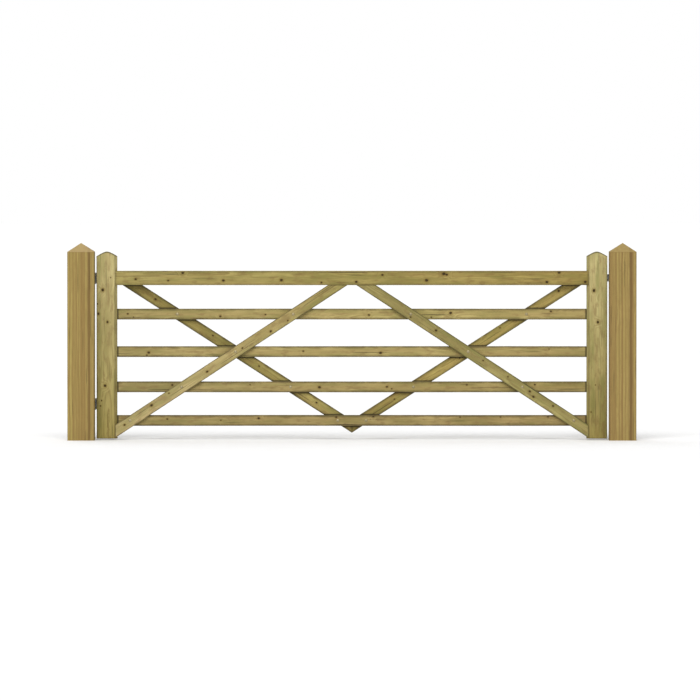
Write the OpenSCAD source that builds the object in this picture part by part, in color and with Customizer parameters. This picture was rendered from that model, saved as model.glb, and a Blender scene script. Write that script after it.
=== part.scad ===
// Timber field gate hung between two weathered gate posts.
// X runs along the gate from the hanging post to the shutting post, Y runs from front to back
// and Z is up. The origin is on the ground, in the middle of the whole gate.

/* [Leaf] */
// Width of the leaf over its two stiles
leaf_w = 3600; // [2600:10:4400]
// Length of the stiles, foot to crown
leaf_h = 1318; // [1000:1:1650]
// Thickness of the stiles and the top rail
leaf_t = 70; // [60:1:95]
// Space between the ground and the feet of the stiles
ground_gap = 10; // [5:1:120]
// Space between the hanging post and the leaf
hang_gap = 12; // [8:1:30]
// Space between the leaf and the shutting post
shut_gap = 12; // [8:1:30]

/* [Stiles] */
// Width of a stile's face
stile_w = 145; // [110:1:190]
// Rise of the rounded crown on a stile
crown_rise = 32; // [10:1:60]
// Rounding at the peak of a crown; less makes it more pointed
crown_ease = 25; // [10:1:80]
// Width of the long chamfer on the inner front edge of a stile
chamfer_w = 15; // [5:1:25]

/* [Rails] */
// Height of the top rail's face
top_rail_h = 100; // [80:1:130]
// Drop from the stiles' crowns to the top of the top rail
top_rail_drop = 136; // [90:1:200]
// Height of the four lower rails
rail_h = 76; // [60:1:95]
// Thickness of the four lower rails
rail_t = 22; // [18:1:30]
// Height of the bottom rail's middle above the ground
bottom_rail_z = 137; // [110:1:200]
// How far the upper rail sits above the middle of its bay
upper_rail_lift = 11; // [-30:1:30]
// How far the lower rail sits above the middle of its bay
lower_rail_lift = -6; // [-30:1:30]

/* [Joints] */
// Length of every tenon
tenon_l = 120; // [70:1:125]
// Height of the top rail's tenons
top_tenon_h = 84; // [60:1:90]
// Thickness of the top rail's tenons
top_tenon_t = 24; // [18:1:30]
// Clearance of a tenon in its mortise, on each side
tenon_clear = 0.2; // [0.1:0.1:1]
// Diameter of the pegs that lock the tenons
peg_d = 12; // [8:1:16]
// Length of the pegs, driven in from the back
peg_l = 56; // [45:1:60]
// Clearance of a peg or a screw in the timber, on the radius
bore_clear = 0.1; // [0.1:0.1:0.5]
// Height between the two pegs in each end of the top rail
top_peg_pitch = 62; // [40:1:70]

/* [Braces] */
// Width of a brace's face
brace_h = 76; // [60:1:95]
// Thickness of a brace
brace_t = 22; // [18:1:30]
// Distance of a front brace's head from the middle of the leaf
front_head_x = 100; // [80:1:300]
// Height of a front brace's foot where it meets the stile
front_foot_z = 78; // [70:1:140]
// Distance of a rear brace's head from the stile
rear_head_inset = 106; // [80:1:300]
// Height of the rear braces' middle line where they meet
rear_foot_z = 94.6; // [80:0.1:140]
// Distance of the rear braces' lowest bolts from the middle of the leaf
foot_bolt_x = 100; // [60:1:120]

/* [Brace fixings] */
// Diameter of the coach bolts
bolt_d = 10; // [8:1:12]
// Diameter of the coach bolts' domed heads
bolt_head_d = 22; // [18:1:26]
// Height of the domed heads
bolt_head_h = 5; // [3:0.5:7]
// Depth of the square neck under a domed head
bolt_neck = 6; // [4:1:8]
// Clearance round a bolt or screw in its hole through wood or plate, on the radius
hole_clear = 0.5; // [0.3:0.1:1]
// Clearance between a bolt and its nut, on the radius
thread_clear = 0.1; // [0.05:0.05:0.2]
// Length of bolt that stands proud of its nut
bolt_proud = 4; // [2:1:8]
// Diameter of the washers
washer_d = 30; // [24:1:36]
// Thickness of the washers
washer_t = 2; // [1.5:0.5:3]
// Width of the nuts across flats
nut_af = 17; // [13:1:19]
// Thickness of the nuts
nut_t = 8; // [6:0.5:10]
// Diameter of the screws that hold the brace heads to the top rail
end_screw_d = 6; // [4:0.5:8]
// Length of those screws under the head
end_screw_l = 70; // [55:1:75]
// Diameter of those screws' heads
end_screw_head_d = 11; // [9:0.5:12]
// Thickness of those screws' heads
end_screw_head_h = 4; // [3:0.5:6]
// How far those screws' heads are sunk in the edge of the brace
end_screw_sink = 14; // [8:1:20]

/* [Posts] */
// Width of each square post
post_w = 190; // [150:1:250]
// How far the posts stand above the leaf
post_above_leaf = 62; // [0:1:150]
// Height of the four-sided weathered top
post_cap_h = 62; // [30:1:100]
// Chamfer along the posts' upright edges
post_arris = 5; // [2:1:12]

/* [Hinges] */
// Diameter of the hook pins
pin_d = 16; // [12:1:24]
// Clearance of a pin in its eye, on the radius
pin_clear = 0.3; // [0.3:0.1:1]
// Thickness of the hinge bands
band_t = 6; // [5:0.5:8]
// Height of the hinge bands and their rolled eyes
band_h = 50; // [40:1:60]
// Length of the top band from the pin to its rounded end
top_band_l = 600; // [400:10:750]
// Length of the bottom band from the pin to its rounded end
bottom_band_l = 135; // [110:1:145]
// Height of the bottom band's middle above the ground
bottom_band_z = 255; // [230:1:280]
// Distances of the top band's screws from the pin
top_band_screws = [45, 115, 250, 370, 490, 580]; // [30:1:700]
// Distances of the bottom band's screws from the pin
bottom_band_screws = [45, 112]; // [30:1:130]
// Length of pin that shows above an eye
pin_proud = 12; // [6:1:30]
// Inside radius of the bend below a pin
pin_bend = 6; // [4:1:12]
// Width and height of the plates that carry the hooks
hook_plate = 100; // [90:1:130]
// Thickness of those plates
hook_plate_t = 6; // [5:0.5:8]
// Distance of a hook plate from the post's inner edge
hook_plate_inset = 10; // [9:1:20]
// Pitch of the four screws in a hook plate
hook_screw_pitch = 68; // [64:1:80]
// Width of the weld under a hook
weld_w = 11; // [8:1:14]

/* [Coach screws] */
// Diameter of the coach screws in the hinges
coach_d = 10; // [8:1:12]
// Length under the head of the screws in the bands
coach_l = 52; // [40:1:60]
// Length under the head of the screws in the posts
post_coach_l = 75; // [50:1:100]
// Width across flats of their heads
coach_af = 17; // [13:1:19]
// Thickness of their heads
coach_head_h = 7; // [5:0.5:8]
// Diameter of the smaller screws in the latch and the keep
latch_screw_d = 8; // [6:1:8]
// Length under the head of those screws
latch_screw_l = 50; // [35:1:60]
// Width across flats of those screws' heads
latch_screw_af = 13; // [10:1:13]
// Thickness of those screws' heads
latch_screw_head_h = 5; // [4:0.5:6]

/* [Latch] */
// Side of the square sliding bolt
bar_w = 16; // [12:1:20]
// Distance that the bolt slides
bar_travel = 85; // [75:1:95]
// Distance of the drawn bolt's nose from the leaf's edge
bar_set_back = 5; // [3:1:10]
// Clearance round the bolt in its staples
bar_clear = 0.5; // [0.3:0.1:1]
// Thickness of the latch plate
latch_plate_t = 5; // [4:0.5:6]
// Height of the latch plate
latch_plate_h = 52; // [50:1:60]
// Thickness of the strip that the staples are bent from
staple_t = 5; // [4:0.5:6]
// Width of that strip
staple_w = 20; // [16:1:24]
// Distance of the front staple's middle from the leaf's edge
front_staple_x = 38; // [36:1:45]
// How far the latch plate overlaps the shutting post as a stop
stop_lap = 20; // [15:1:25]
// Clearance between the stop and the shutting post
stop_clear = 0.4; // [0.3:0.1:1]
// Diameter of the knob's stem
stem_d = 14; // [10:1:16]
// Length of the stem between the bolt and the knob
stem_l = 16; // [14:1:30]
// Diameter of the ball knob
knob_d = 28; // [22:1:36]
// Depth that the stem is screwed into the bolt
stem_seat = 9; // [6:1:11]
// Diameter of the padlock hole in the bolt's nose
padlock_d = 9; // [7:0.5:10]
// Distance of the padlock hole from the nose
padlock_x = 12; // [10:1:13]
// Height between the two rows of latch screws
latch_screw_pitch = 35; // [34:1:38]

/* [Keep] */
// Width of the keep's plate
keep_w = 70; // [66:1:90]
// Height of the keep's plate
keep_h = 96; // [90:1:120]
// Clearance round the bolt in the keep
keep_clear = 3; // [2:0.5:5]
// Space between the stop and the keep
keep_gap = 2; // [1:1:6]
// Pitch of the keep's screws across
keep_pitch_x = 44; // [40:1:50]
// Pitch of the keep's screws up and down
keep_pitch_z = 68; // [62:1:80]

/* [Hidden] */
$fn = 64;
OVER = 1;  // how far a cutting solid runs past the face that it cuts
HEX = 6;   // sides of a nut or a hexagon head

// Heights
leaf_top = ground_gap + leaf_h;
post_h = leaf_top + post_above_leaf;
top_rail_top = leaf_top - top_rail_drop;
top_rail_foot = top_rail_top - top_rail_h;
top_rail_z = (top_rail_top + top_rail_foot) / 2;
latch_z = top_rail_z;

// Places along the gate
stile_out = leaf_w / 2;
stile_in = stile_out - stile_w;
hang_post_x = -(stile_out + hang_gap + post_w / 2);
shut_post_x = stile_out + shut_gap + post_w / 2;
hinge_x = -(stile_out + hang_gap / 2);

// Depth: the whole gate is centred on Y = 0, from the posts' fronts to the knob on the latch
bar_seat = latch_plate_t + bar_clear;
latch_reach = bar_seat + bar_w + stem_l + knob_d;
post_y = -(stop_clear + latch_reach) / 2;
post_back = post_y + post_w / 2;
leaf_back = post_back + stop_clear;
leaf_y = leaf_back - leaf_t / 2;
eye_r = pin_d / 2 + pin_clear + band_t;
hinge_y = leaf_back + eye_r;
rail_front = leaf_y - rail_t / 2;
rail_back = leaf_y + rail_t / 2;
front_brace_face = rail_front - brace_t;
rear_brace_back = rail_back + brace_t;
chamfer_depth = rail_front - (leaf_y - leaf_t / 2);

// The braces' middle lines, on the right-hand half of the leaf
rear_head_x = stile_in - rear_head_inset;
front_slope = (top_rail_foot - front_foot_z) / (stile_in - front_head_x);
rear_slope = (top_rail_foot - rear_foot_z) / rear_head_x;
function front_z(x) = top_rail_foot - front_slope * (x - front_head_x);
function front_x(z) = front_head_x + (top_rail_foot - z) / front_slope;
function rear_x(z) = (z - rear_foot_z) / rear_slope;

// The middle rail passes through the point where the front and rear braces cross
cross_x = (top_rail_foot + front_slope * front_head_x - rear_foot_z) / (front_slope + rear_slope);
middle_rail_z = front_z(cross_x);
upper_rail_z = (top_rail_foot + middle_rail_z + rail_h / 2) / 2 + upper_rail_lift;
lower_rail_z = (middle_rail_z + bottom_rail_z) / 2 + lower_rail_lift;
rail_levels = [upper_rail_z, middle_rail_z, lower_rail_z, bottom_rail_z];

// Brace bolts on the right-hand half, each with X and Z; the left-hand half mirrors them
front_bolts = [for (z = [upper_rail_z, lower_rail_z, bottom_rail_z]) [front_x(z), z]];
rear_bolts = [
    [rear_x(upper_rail_z), upper_rail_z],
    [rear_x(lower_rail_z), lower_rail_z],
    [foot_bolt_x, bottom_rail_z]
];
cross_bolt = [cross_x, middle_rail_z];
dome_r = (pow(bolt_head_d / 2, 2) + pow(bolt_head_h, 2)) / (2 * bolt_head_h);
crown_steps = 32;
crown_reach = sqrt(pow(stile_w / 2, 2) + pow(crown_ease, 2)) - crown_ease;

// Screws through the brace heads, each with X, the layer's middle in Y and the height of its head
front_half = brace_h / 2 * sqrt(1 + pow(front_slope, 2));
rear_half = brace_h / 2 * sqrt(1 + pow(rear_slope, 2));
end_screws = [
    [front_head_x, rail_front - brace_t / 2, top_rail_foot - front_half + end_screw_sink],
    [rear_head_x, rail_back + brace_t / 2, top_rail_foot - rear_half + end_screw_sink]
];

// Pegs: one in each rail's tenon, two in the top rail's
peg_inset = tenon_l / 2;
peg_levels = concat([top_rail_z - top_peg_pitch / 2, top_rail_z + top_peg_pitch / 2], rail_levels);

// Hooks
bend_r = pin_bend + pin_d / 2;
hook_drop = band_h / 2 + bend_r + pin_clear;
hook_plate_x = hang_post_x + post_w / 2 - hook_plate_inset - hook_plate / 2;
hook_levels = [top_rail_z, bottom_band_z];

// Latch: everything is set out from the leaf's shutting edge
staple_h = bar_w + 2 * bar_clear + 2 * staple_t;
staple_reach = bar_seat + bar_w + bar_clear + staple_t;
staple_pitch = bar_travel + stem_d + 2 * bar_clear + staple_w;
front_staple = stile_out - front_staple_x;
rear_staple = front_staple - staple_pitch;
stem_x = rear_staple + staple_w / 2 + bar_clear + stem_d / 2;
bar_nose = stile_out - bar_set_back;
bar_tail = rear_staple - staple_w / 2 - bar_travel - bar_set_back;
latch_plate_end = bar_tail - bar_set_back;
stop_end = stile_out + shut_gap + stop_lap;
bar_y = leaf_back + bar_seat + bar_w / 2;
latch_screw_x = [
    bar_tail + staple_w,
    rear_staple + staple_w / 2 + latch_screw_af,
    front_staple - staple_w / 2 - latch_screw_af
];

// Keep: its staple stands on the shutting post, past the stop
keep_x = stop_end + keep_gap;
keep_in_h = bar_w + 2 * keep_clear;
keep_out_h = keep_in_h + 2 * staple_t;
keep_in_y = bar_y + bar_w / 2 + keep_clear;
keep_screw_x = keep_x + keep_w / 2;

// Extrudes a shape drawn in X and Z from y for a thickness of t
module slab(y, t) {
    translate([0, y + t, 0]) rotate([90, 0, 0]) linear_extrude(t) children();
}

// A round bar along Y, from y for a length of l
module rod_y(x, y, z, r, l) {
    translate([x, y, z]) rotate([-90, 0, 0]) cylinder(r = r, h = l);
}

// A hexagonal bar along Y
module hex_y(x, y, z, af, l) {
    translate([x, y, z]) rotate([-90, 0, 0]) cylinder(d = af / cos(180 / HEX), h = l, $fn = HEX);
}

module both_sides() {
    children();
    mirror([1, 0, 0]) children();
}

// The room between the stiles, with the wedges that their chamfers leave
module between_stiles() {
    front = leaf_y - leaf_t / 2;
    linear_extrude(leaf_top) polygon([
        [-stile_in, leaf_back], [-stile_in, rail_front], [-stile_in - chamfer_w, front],
        [stile_in + chamfer_w, front], [stile_in, rail_front], [stile_in, leaf_back]
    ]);
}

// Holes that more than one piece of timber shares
module peg_bores(side) {
    for (z = peg_levels)
        rod_y(side * (stile_in + peg_inset), leaf_back - peg_l, z, peg_d / 2 + bore_clear, peg_l + OVER);
}

module band_bores() {
    for (x = top_band_screws)
        coach_bore(hinge_x + x, top_rail_z);
    for (x = bottom_band_screws)
        coach_bore(hinge_x + x, bottom_band_z);
}

module coach_bore(x, z) {
    depth = coach_l - band_t + bore_clear;
    rod_y(x, leaf_back - depth, z, coach_d / 2 + bore_clear, depth + OVER);
}

module latch_bores() {
    depth = latch_screw_l - latch_plate_t + bore_clear;
    for (x = latch_screw_x, side = [-1, 1])
        rod_y(x, leaf_back - depth, latch_z + side * latch_screw_pitch / 2,
            latch_screw_d / 2 + bore_clear, depth + OVER);
}

module brace_bores() {
    both_sides() for (p = concat(front_bolts, rear_bolts, [cross_bolt]))
        rod_y(p[0], front_brace_face - OVER, p[1], bolt_d / 2 + hole_clear,
            rear_brace_back - front_brace_face + 2 * OVER);
}

// Square seats for the bolts' necks: y is the face that the heads lie on
module neck_seats(points, y) {
    side = bolt_d + 2 * bore_clear;
    both_sides() for (p = points)
        translate([p[0] - side / 2, y - OVER, p[1] - side / 2])
            cube([side, bolt_neck + bore_clear + OVER, side]);
}

module end_screw_bores() {
    both_sides() for (s = end_screws) {
        translate([s[0], s[1], s[2]])
            cylinder(d = end_screw_d + 2 * bore_clear, h = end_screw_l + bore_clear);
        translate([s[0], s[1], s[2] - brace_h])
            cylinder(d = end_screw_head_d + 2 * bore_clear, h = brace_h);
    }
}

// Posts
module post(x) {
    shoulder = post_h - post_cap_h;
    half = post_w / 2;
    gable = [[-half, 0], [half, 0], [half, shoulder], [0, post_h], [-half, shoulder]];
    translate([x, post_y, 0]) intersection() {
        slab(-half, post_w) polygon(gable);
        rotate([0, 0, 90]) slab(-half, post_w) polygon(gable);
        linear_extrude(post_h) polygon([
            [-half, post_arris - half], [post_arris - half, -half], [half - post_arris, -half],
            [half, post_arris - half], [half, half - post_arris], [half - post_arris, half],
            [post_arris - half, half], [-half, half - post_arris]
        ]);
    }
}

module hanging_post() {
    depth = post_coach_l - hook_plate_t + bore_clear;
    color("peru") difference() {
        post(hang_post_x);
        hook_screw_places() rod_y(0, post_back - depth, 0, coach_d / 2 + bore_clear, depth + OVER);
    }
}

module shutting_post() {
    depth = latch_screw_l - latch_plate_t + bore_clear;
    color("peru") difference() {
        post(shut_post_x);
        keep_screw_places()
            rod_y(0, post_back - depth, 0, latch_screw_d / 2 + bore_clear, depth + OVER);
    }
}

module hook_screw_places() {
    for (level = hook_levels, sx = [-1, 1], sz = [-1, 1])
        translate([hook_plate_x + sx * hook_screw_pitch / 2, 0,
            level - hook_drop + sz * hook_screw_pitch / 2]) children();
}

module keep_screw_places() {
    for (sx = [-1, 1], sz = [-1, 1])
        translate([keep_screw_x + sx * keep_pitch_x / 2, 0, latch_z + sz * keep_pitch_z / 2])
            children();
}

// Drop of a crown below its peak, at x from the stile's middle: a blunt gable with a rounded ridge
function crown_drop(x) = crown_rise * (sqrt(pow(x, 2) + pow(crown_ease, 2)) - crown_ease) / crown_reach;

// Stiles
module stile(side) {
    middle = side * (stile_in + stile_out) / 2;
    front = leaf_y - leaf_t / 2;
    difference() {
        slab(front, leaf_t) translate([middle, 0]) polygon([
            [-stile_w / 2, ground_gap], [stile_w / 2, ground_gap],
            for (step = [crown_steps:-1:0])
                let (x = stile_w * (step / crown_steps - 0.5)) [x, leaf_top - crown_drop(x)]
        ]);
        linear_extrude(leaf_top + OVER) polygon([
            [side * stile_in, rail_front], [side * (stile_in + chamfer_w), front],
            [side * (stile_in + chamfer_w), front - OVER], [side * (stile_in - OVER), front - OVER],
            [side * (stile_in - OVER), rail_front]
        ]);
        for (z = rail_levels)
            mortise(side, z, rail_h, rail_t);
        mortise(side, top_rail_z, top_tenon_h, top_tenon_t);
        peg_bores(side);
    }
}

module mortise(side, z, h, t) {
    l = tenon_l + tenon_clear + OVER;
    middle = side * (stile_in - OVER + l / 2);
    translate([middle, leaf_y, z]) cube([l, t + 2 * tenon_clear, h + 2 * tenon_clear], center = true);
}

module hanging_stile() {
    color("darkkhaki") difference() {
        stile(-1);
        band_bores();
    }
}

module shutting_stile() {
    color("darkkhaki") difference() {
        stile(1);
        latch_bores();
    }
}

// Rails
module top_rail() {
    color("khaki") difference() {
        union() {
            intersection() {
                between_stiles();
                translate([-stile_out, leaf_y - leaf_t / 2, top_rail_foot])
                    cube([leaf_w, leaf_t, top_rail_h]);
            }
            translate([0, leaf_y, top_rail_z])
                cube([2 * (stile_in + tenon_l), top_tenon_t, top_tenon_h], center = true);
        }
        peg_bores(1);
        peg_bores(-1);
        band_bores();
        latch_bores();
        end_screw_bores();
    }
}

module rail(z) {
    difference() {
        translate([0, leaf_y, z])
            cube([2 * (stile_in + tenon_l), rail_t, rail_h], center = true);
        peg_bores(1);
        peg_bores(-1);
        brace_bores();
        neck_seats(rear_bolts, rail_front);
    }
}

module upper_rail() {
    color("burlywood") rail(upper_rail_z);
}

module middle_rail() {
    color("burlywood") rail(middle_rail_z);
}

module lower_rail() {
    color("burlywood") rail(lower_rail_z);
}

module bottom_rail() {
    color("burlywood") rail(bottom_rail_z);
}

// Braces: a board laid along the middle line, cut off under the top rail and at the stile
module front_brace() {
    reach = stile_out;
    difference() {
        intersection() {
            slab(front_brace_face, brace_t)
                translate([front_head_x, top_rail_foot]) rotate(-atan(front_slope))
                    translate([-reach, -brace_h / 2]) square([3 * reach, brace_h]);
            between_stiles();
            translate([0, front_brace_face, 0]) cube([leaf_w, brace_t, top_rail_foot]);
        }
        brace_bores();
        neck_seats(concat(front_bolts, [cross_bolt]), front_brace_face);
        end_screw_bores();
    }
}

module front_brace_hanging() {
    color("tan") mirror([1, 0, 0]) front_brace();
}

module front_brace_shutting() {
    color("tan") front_brace();
}

module rear_brace() {
    reach = stile_out;
    difference() {
        slab(rail_back, brace_t) intersection() {
            translate([0, rear_foot_z]) rotate(atan(rear_slope))
                translate([-reach, -brace_h / 2]) square([3 * reach, brace_h]);
            square([leaf_w, top_rail_foot]);
        }
        brace_bores();
        end_screw_bores();
    }
}

module rear_brace_hanging() {
    color("wheat") mirror([1, 0, 0]) rear_brace();
}

module rear_brace_shutting() {
    color("wheat") rear_brace();
}

// Pegs through the tenons
module pegs(side) {
    for (z = peg_levels)
        rod_y(side * (stile_in + peg_inset), leaf_back - peg_l, z, peg_d / 2, peg_l);
}

module hanging_pegs() {
    color("sienna") pegs(-1);
}

module shutting_pegs() {
    color("sienna") pegs(1);
}

// Coach bolts through the braces: y is the face under the head, grip the timber held
module coach_bolt(x, z, y, grip) {
    intersection() {
        translate([x, y - bolt_head_h + dome_r, z]) sphere(dome_r);
        rod_y(x, y - bolt_head_h, z, bolt_head_d, bolt_head_h);
    }
    translate([x - bolt_d / 2, y, z - bolt_d / 2]) cube([bolt_d, bolt_neck, bolt_d]);
    rod_y(x, y, z, bolt_d / 2, grip + washer_t + nut_t + bolt_proud);
}

module short_brace_bolts() {
    color("silver") both_sides() {
        for (p = front_bolts)
            coach_bolt(p[0], p[1], front_brace_face, brace_t + rail_t);
        for (p = rear_bolts)
            coach_bolt(p[0], p[1], rail_front, brace_t + rail_t);
    }
}

module long_brace_bolts() {
    color("silver") both_sides()
        coach_bolt(cross_bolt[0], cross_bolt[1], front_brace_face, 2 * brace_t + rail_t);
}

// Places the nut's side of every brace bolt at the face that its washer lies on
module bolt_backs() {
    both_sides() {
        for (p = front_bolts)
            translate([p[0], rail_back, p[1]]) children();
        for (p = concat(rear_bolts, [cross_bolt]))
            translate([p[0], rear_brace_back, p[1]]) children();
    }
}

module brace_washers() {
    color("gainsboro") bolt_backs() difference() {
        rod_y(0, 0, 0, washer_d / 2, washer_t);
        rod_y(0, -OVER, 0, bolt_d / 2 + hole_clear, washer_t + 2 * OVER);
    }
}

module brace_nuts() {
    color("gray") bolt_backs() difference() {
        hex_y(0, washer_t, 0, nut_af, nut_t);
        rod_y(0, washer_t - OVER, 0, bolt_d / 2 + thread_clear, nut_t + 2 * OVER);
    }
}

module brace_end_screws() {
    color("dimgray") both_sides() for (s = end_screws)
        translate([s[0], s[1], s[2]]) {
            cylinder(d = end_screw_d, h = end_screw_l);
            translate([0, 0, -end_screw_head_h]) cylinder(d = end_screw_head_d, h = end_screw_head_h);
        }
}

// Hinges
module band(l, z, screws) {
    difference() {
        union() {
            translate([hinge_x, hinge_y, z - band_h / 2]) cylinder(r = eye_r, h = band_h);
            translate([hinge_x, leaf_back, z - band_h / 2]) cube([l - band_h / 2, band_t, band_h]);
            rod_y(hinge_x + l - band_h / 2, leaf_back, z, band_h / 2, band_t);
        }
        translate([hinge_x, hinge_y, z - band_h / 2 - OVER])
            cylinder(r = pin_d / 2 + pin_clear, h = band_h + 2 * OVER);
        for (x = screws)
            rod_y(hinge_x + x, leaf_back - OVER, z, coach_d / 2 + hole_clear, band_t + 2 * OVER);
    }
}

module top_band() {
    color("lightslategray") band(top_band_l, top_rail_z, top_band_screws);
}

module bottom_band() {
    color("lightslategray") band(bottom_band_l, bottom_band_z, bottom_band_screws);
}

// A hook welded to its plate: the pin starts where the bend ends, just under the band's eye
module hook(level) {
    z = level - hook_drop;
    leg_end = hook_plate_x - hook_plate / 4;
    elbow_x = hinge_x - bend_r;
    difference() {
        translate([hook_plate_x - hook_plate / 2, post_back, z - hook_plate / 2])
            cube([hook_plate, hook_plate_t, hook_plate]);
        for (sx = [-1, 1], sz = [-1, 1])
            rod_y(hook_plate_x + sx * hook_screw_pitch / 2, post_back - OVER,
                z + sz * hook_screw_pitch / 2, coach_d / 2 + hole_clear, hook_plate_t + 2 * OVER);
    }
    translate([leg_end, hinge_y, z]) rotate([0, 90, 0])
        cylinder(d = pin_d, h = elbow_x - leg_end);
    translate([elbow_x, hinge_y, z + bend_r]) rotate([90, 0, 0]) rotate([0, 0, -90])
        rotate_extrude(angle = 90) translate([bend_r, 0]) circle(d = pin_d);
    translate([hinge_x, hinge_y, z + bend_r])
        cylinder(d = pin_d, h = pin_clear + band_h + pin_proud);
    translate([leg_end, post_back + hook_plate_t / 2, z - weld_w / 2])
        cube([hook_plate_x + hook_plate / 2 - leg_end - OVER, hinge_y - post_back - hook_plate_t / 2,
            weld_w]);
}

module top_hook() {
    color("slategray") hook(hook_levels[0]);
}

module bottom_hook() {
    color("slategray") hook(hook_levels[1]);
}

// A coach screw driven forwards: y is the face under its hexagon head
module coach_screw(x, y, z, d, l, af, head_h) {
    hex_y(x, y, z, af, head_h);
    rod_y(x, y - l + d, z, d / 2, l - d);
    translate([x, y - l + d, z]) rotate([90, 0, 0]) cylinder(r1 = d / 2, r2 = d / 10, h = d);
}

module hook_screws() {
    color("gray") hook_screw_places()
        coach_screw(0, post_back + hook_plate_t, 0, coach_d, post_coach_l, coach_af, coach_head_h);
}

module band_screws() {
    color("gray") {
        for (x = top_band_screws)
            coach_screw(hinge_x + x, leaf_back + band_t, top_rail_z, coach_d, coach_l, coach_af,
                coach_head_h);
        for (x = bottom_band_screws)
            coach_screw(hinge_x + x, leaf_back + band_t, bottom_band_z, coach_d, coach_l, coach_af,
                coach_head_h);
    }
}

// Latch
module latch_plate() {
    color("lightsteelblue") difference() {
        union() {
            translate([latch_plate_end, leaf_back, latch_z - latch_plate_h / 2])
                cube([stop_end - latch_plate_end, latch_plate_t, latch_plate_h]);
            for (x = [front_staple, rear_staple])
                translate([x - staple_w / 2, leaf_back, latch_z - staple_h / 2])
                    cube([staple_w, staple_reach, staple_h]);
        }
        translate([latch_plate_end - OVER, leaf_back + latch_plate_t, bar_foot()])
            cube([stop_end - latch_plate_end, bar_w + 2 * bar_clear, bar_w + 2 * bar_clear]);
        for (x = latch_screw_x, side = [-1, 1])
            rod_y(x, leaf_back - OVER, latch_z + side * latch_screw_pitch / 2,
                latch_screw_d / 2 + hole_clear, latch_plate_t + 2 * OVER);
    }
}

function bar_foot() = latch_z - bar_w / 2 - bar_clear;

module latch_screws() {
    color("gray") for (x = latch_screw_x, side = [-1, 1])
        coach_screw(x, leaf_back + latch_plate_t, latch_z + side * latch_screw_pitch / 2,
            latch_screw_d, latch_screw_l, latch_screw_af, latch_screw_head_h);
}

module sliding_bolt() {
    color("steelblue") difference() {
        translate([bar_tail, bar_y - bar_w / 2, latch_z - bar_w / 2])
            cube([bar_nose - bar_tail, bar_w, bar_w]);
        translate([bar_nose - padlock_x, bar_y, latch_z - bar_w])
            cylinder(d = padlock_d, h = 2 * bar_w);
        rod_y(stem_x, bar_y + bar_w / 2 - stem_seat, latch_z, stem_d / 4 + bore_clear,
            stem_seat + OVER);
    }
}

module bolt_knob() {
    seat = bar_y + bar_w / 2;
    color("steelblue") {
        rod_y(stem_x, seat, latch_z, stem_d / 2, stem_l + knob_d / 2);
        rod_y(stem_x, seat - stem_seat, latch_z, stem_d / 4, stem_seat + OVER);
        translate([stem_x, seat + stem_l + knob_d / 2, latch_z]) sphere(d = knob_d);
    }
}

// Keep on the shutting post
module keep() {
    color("lightsteelblue") difference() {
        union() {
            translate([keep_x, post_back, latch_z - keep_h / 2])
                cube([keep_w, latch_plate_t, keep_h]);
            translate([keep_x, post_back, latch_z - keep_out_h / 2])
                cube([staple_w, keep_in_y + staple_t - post_back, keep_out_h]);
        }
        translate([keep_x - OVER, post_back + latch_plate_t, latch_z - keep_in_h / 2])
            cube([staple_w + 2 * OVER, keep_in_y - post_back - latch_plate_t, keep_in_h]);
        keep_screw_places()
            rod_y(0, post_back - OVER, 0, latch_screw_d / 2 + hole_clear, latch_plate_t + 2 * OVER);
    }
}

module keep_screws() {
    color("gray") keep_screw_places()
        coach_screw(0, post_back + latch_plate_t, 0, latch_screw_d, latch_screw_l, latch_screw_af,
            latch_screw_head_h);
}

hanging_post();
shutting_post();
top_hook();
bottom_hook();
hook_screws();
keep();
keep_screws();
hanging_stile();
shutting_stile();
top_rail();
upper_rail();
middle_rail();
lower_rail();
bottom_rail();
front_brace_hanging();
front_brace_shutting();
rear_brace_hanging();
rear_brace_shutting();
hanging_pegs();
shutting_pegs();
short_brace_bolts();
long_brace_bolts();
brace_washers();
brace_nuts();
brace_end_screws();
top_band();
bottom_band();
band_screws();
latch_plate();
latch_screws();
sliding_bolt();
bolt_knob();
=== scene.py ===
"""Timber field gate: the timber, the ironwork's finishes and the stage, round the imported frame."""
import math

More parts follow.
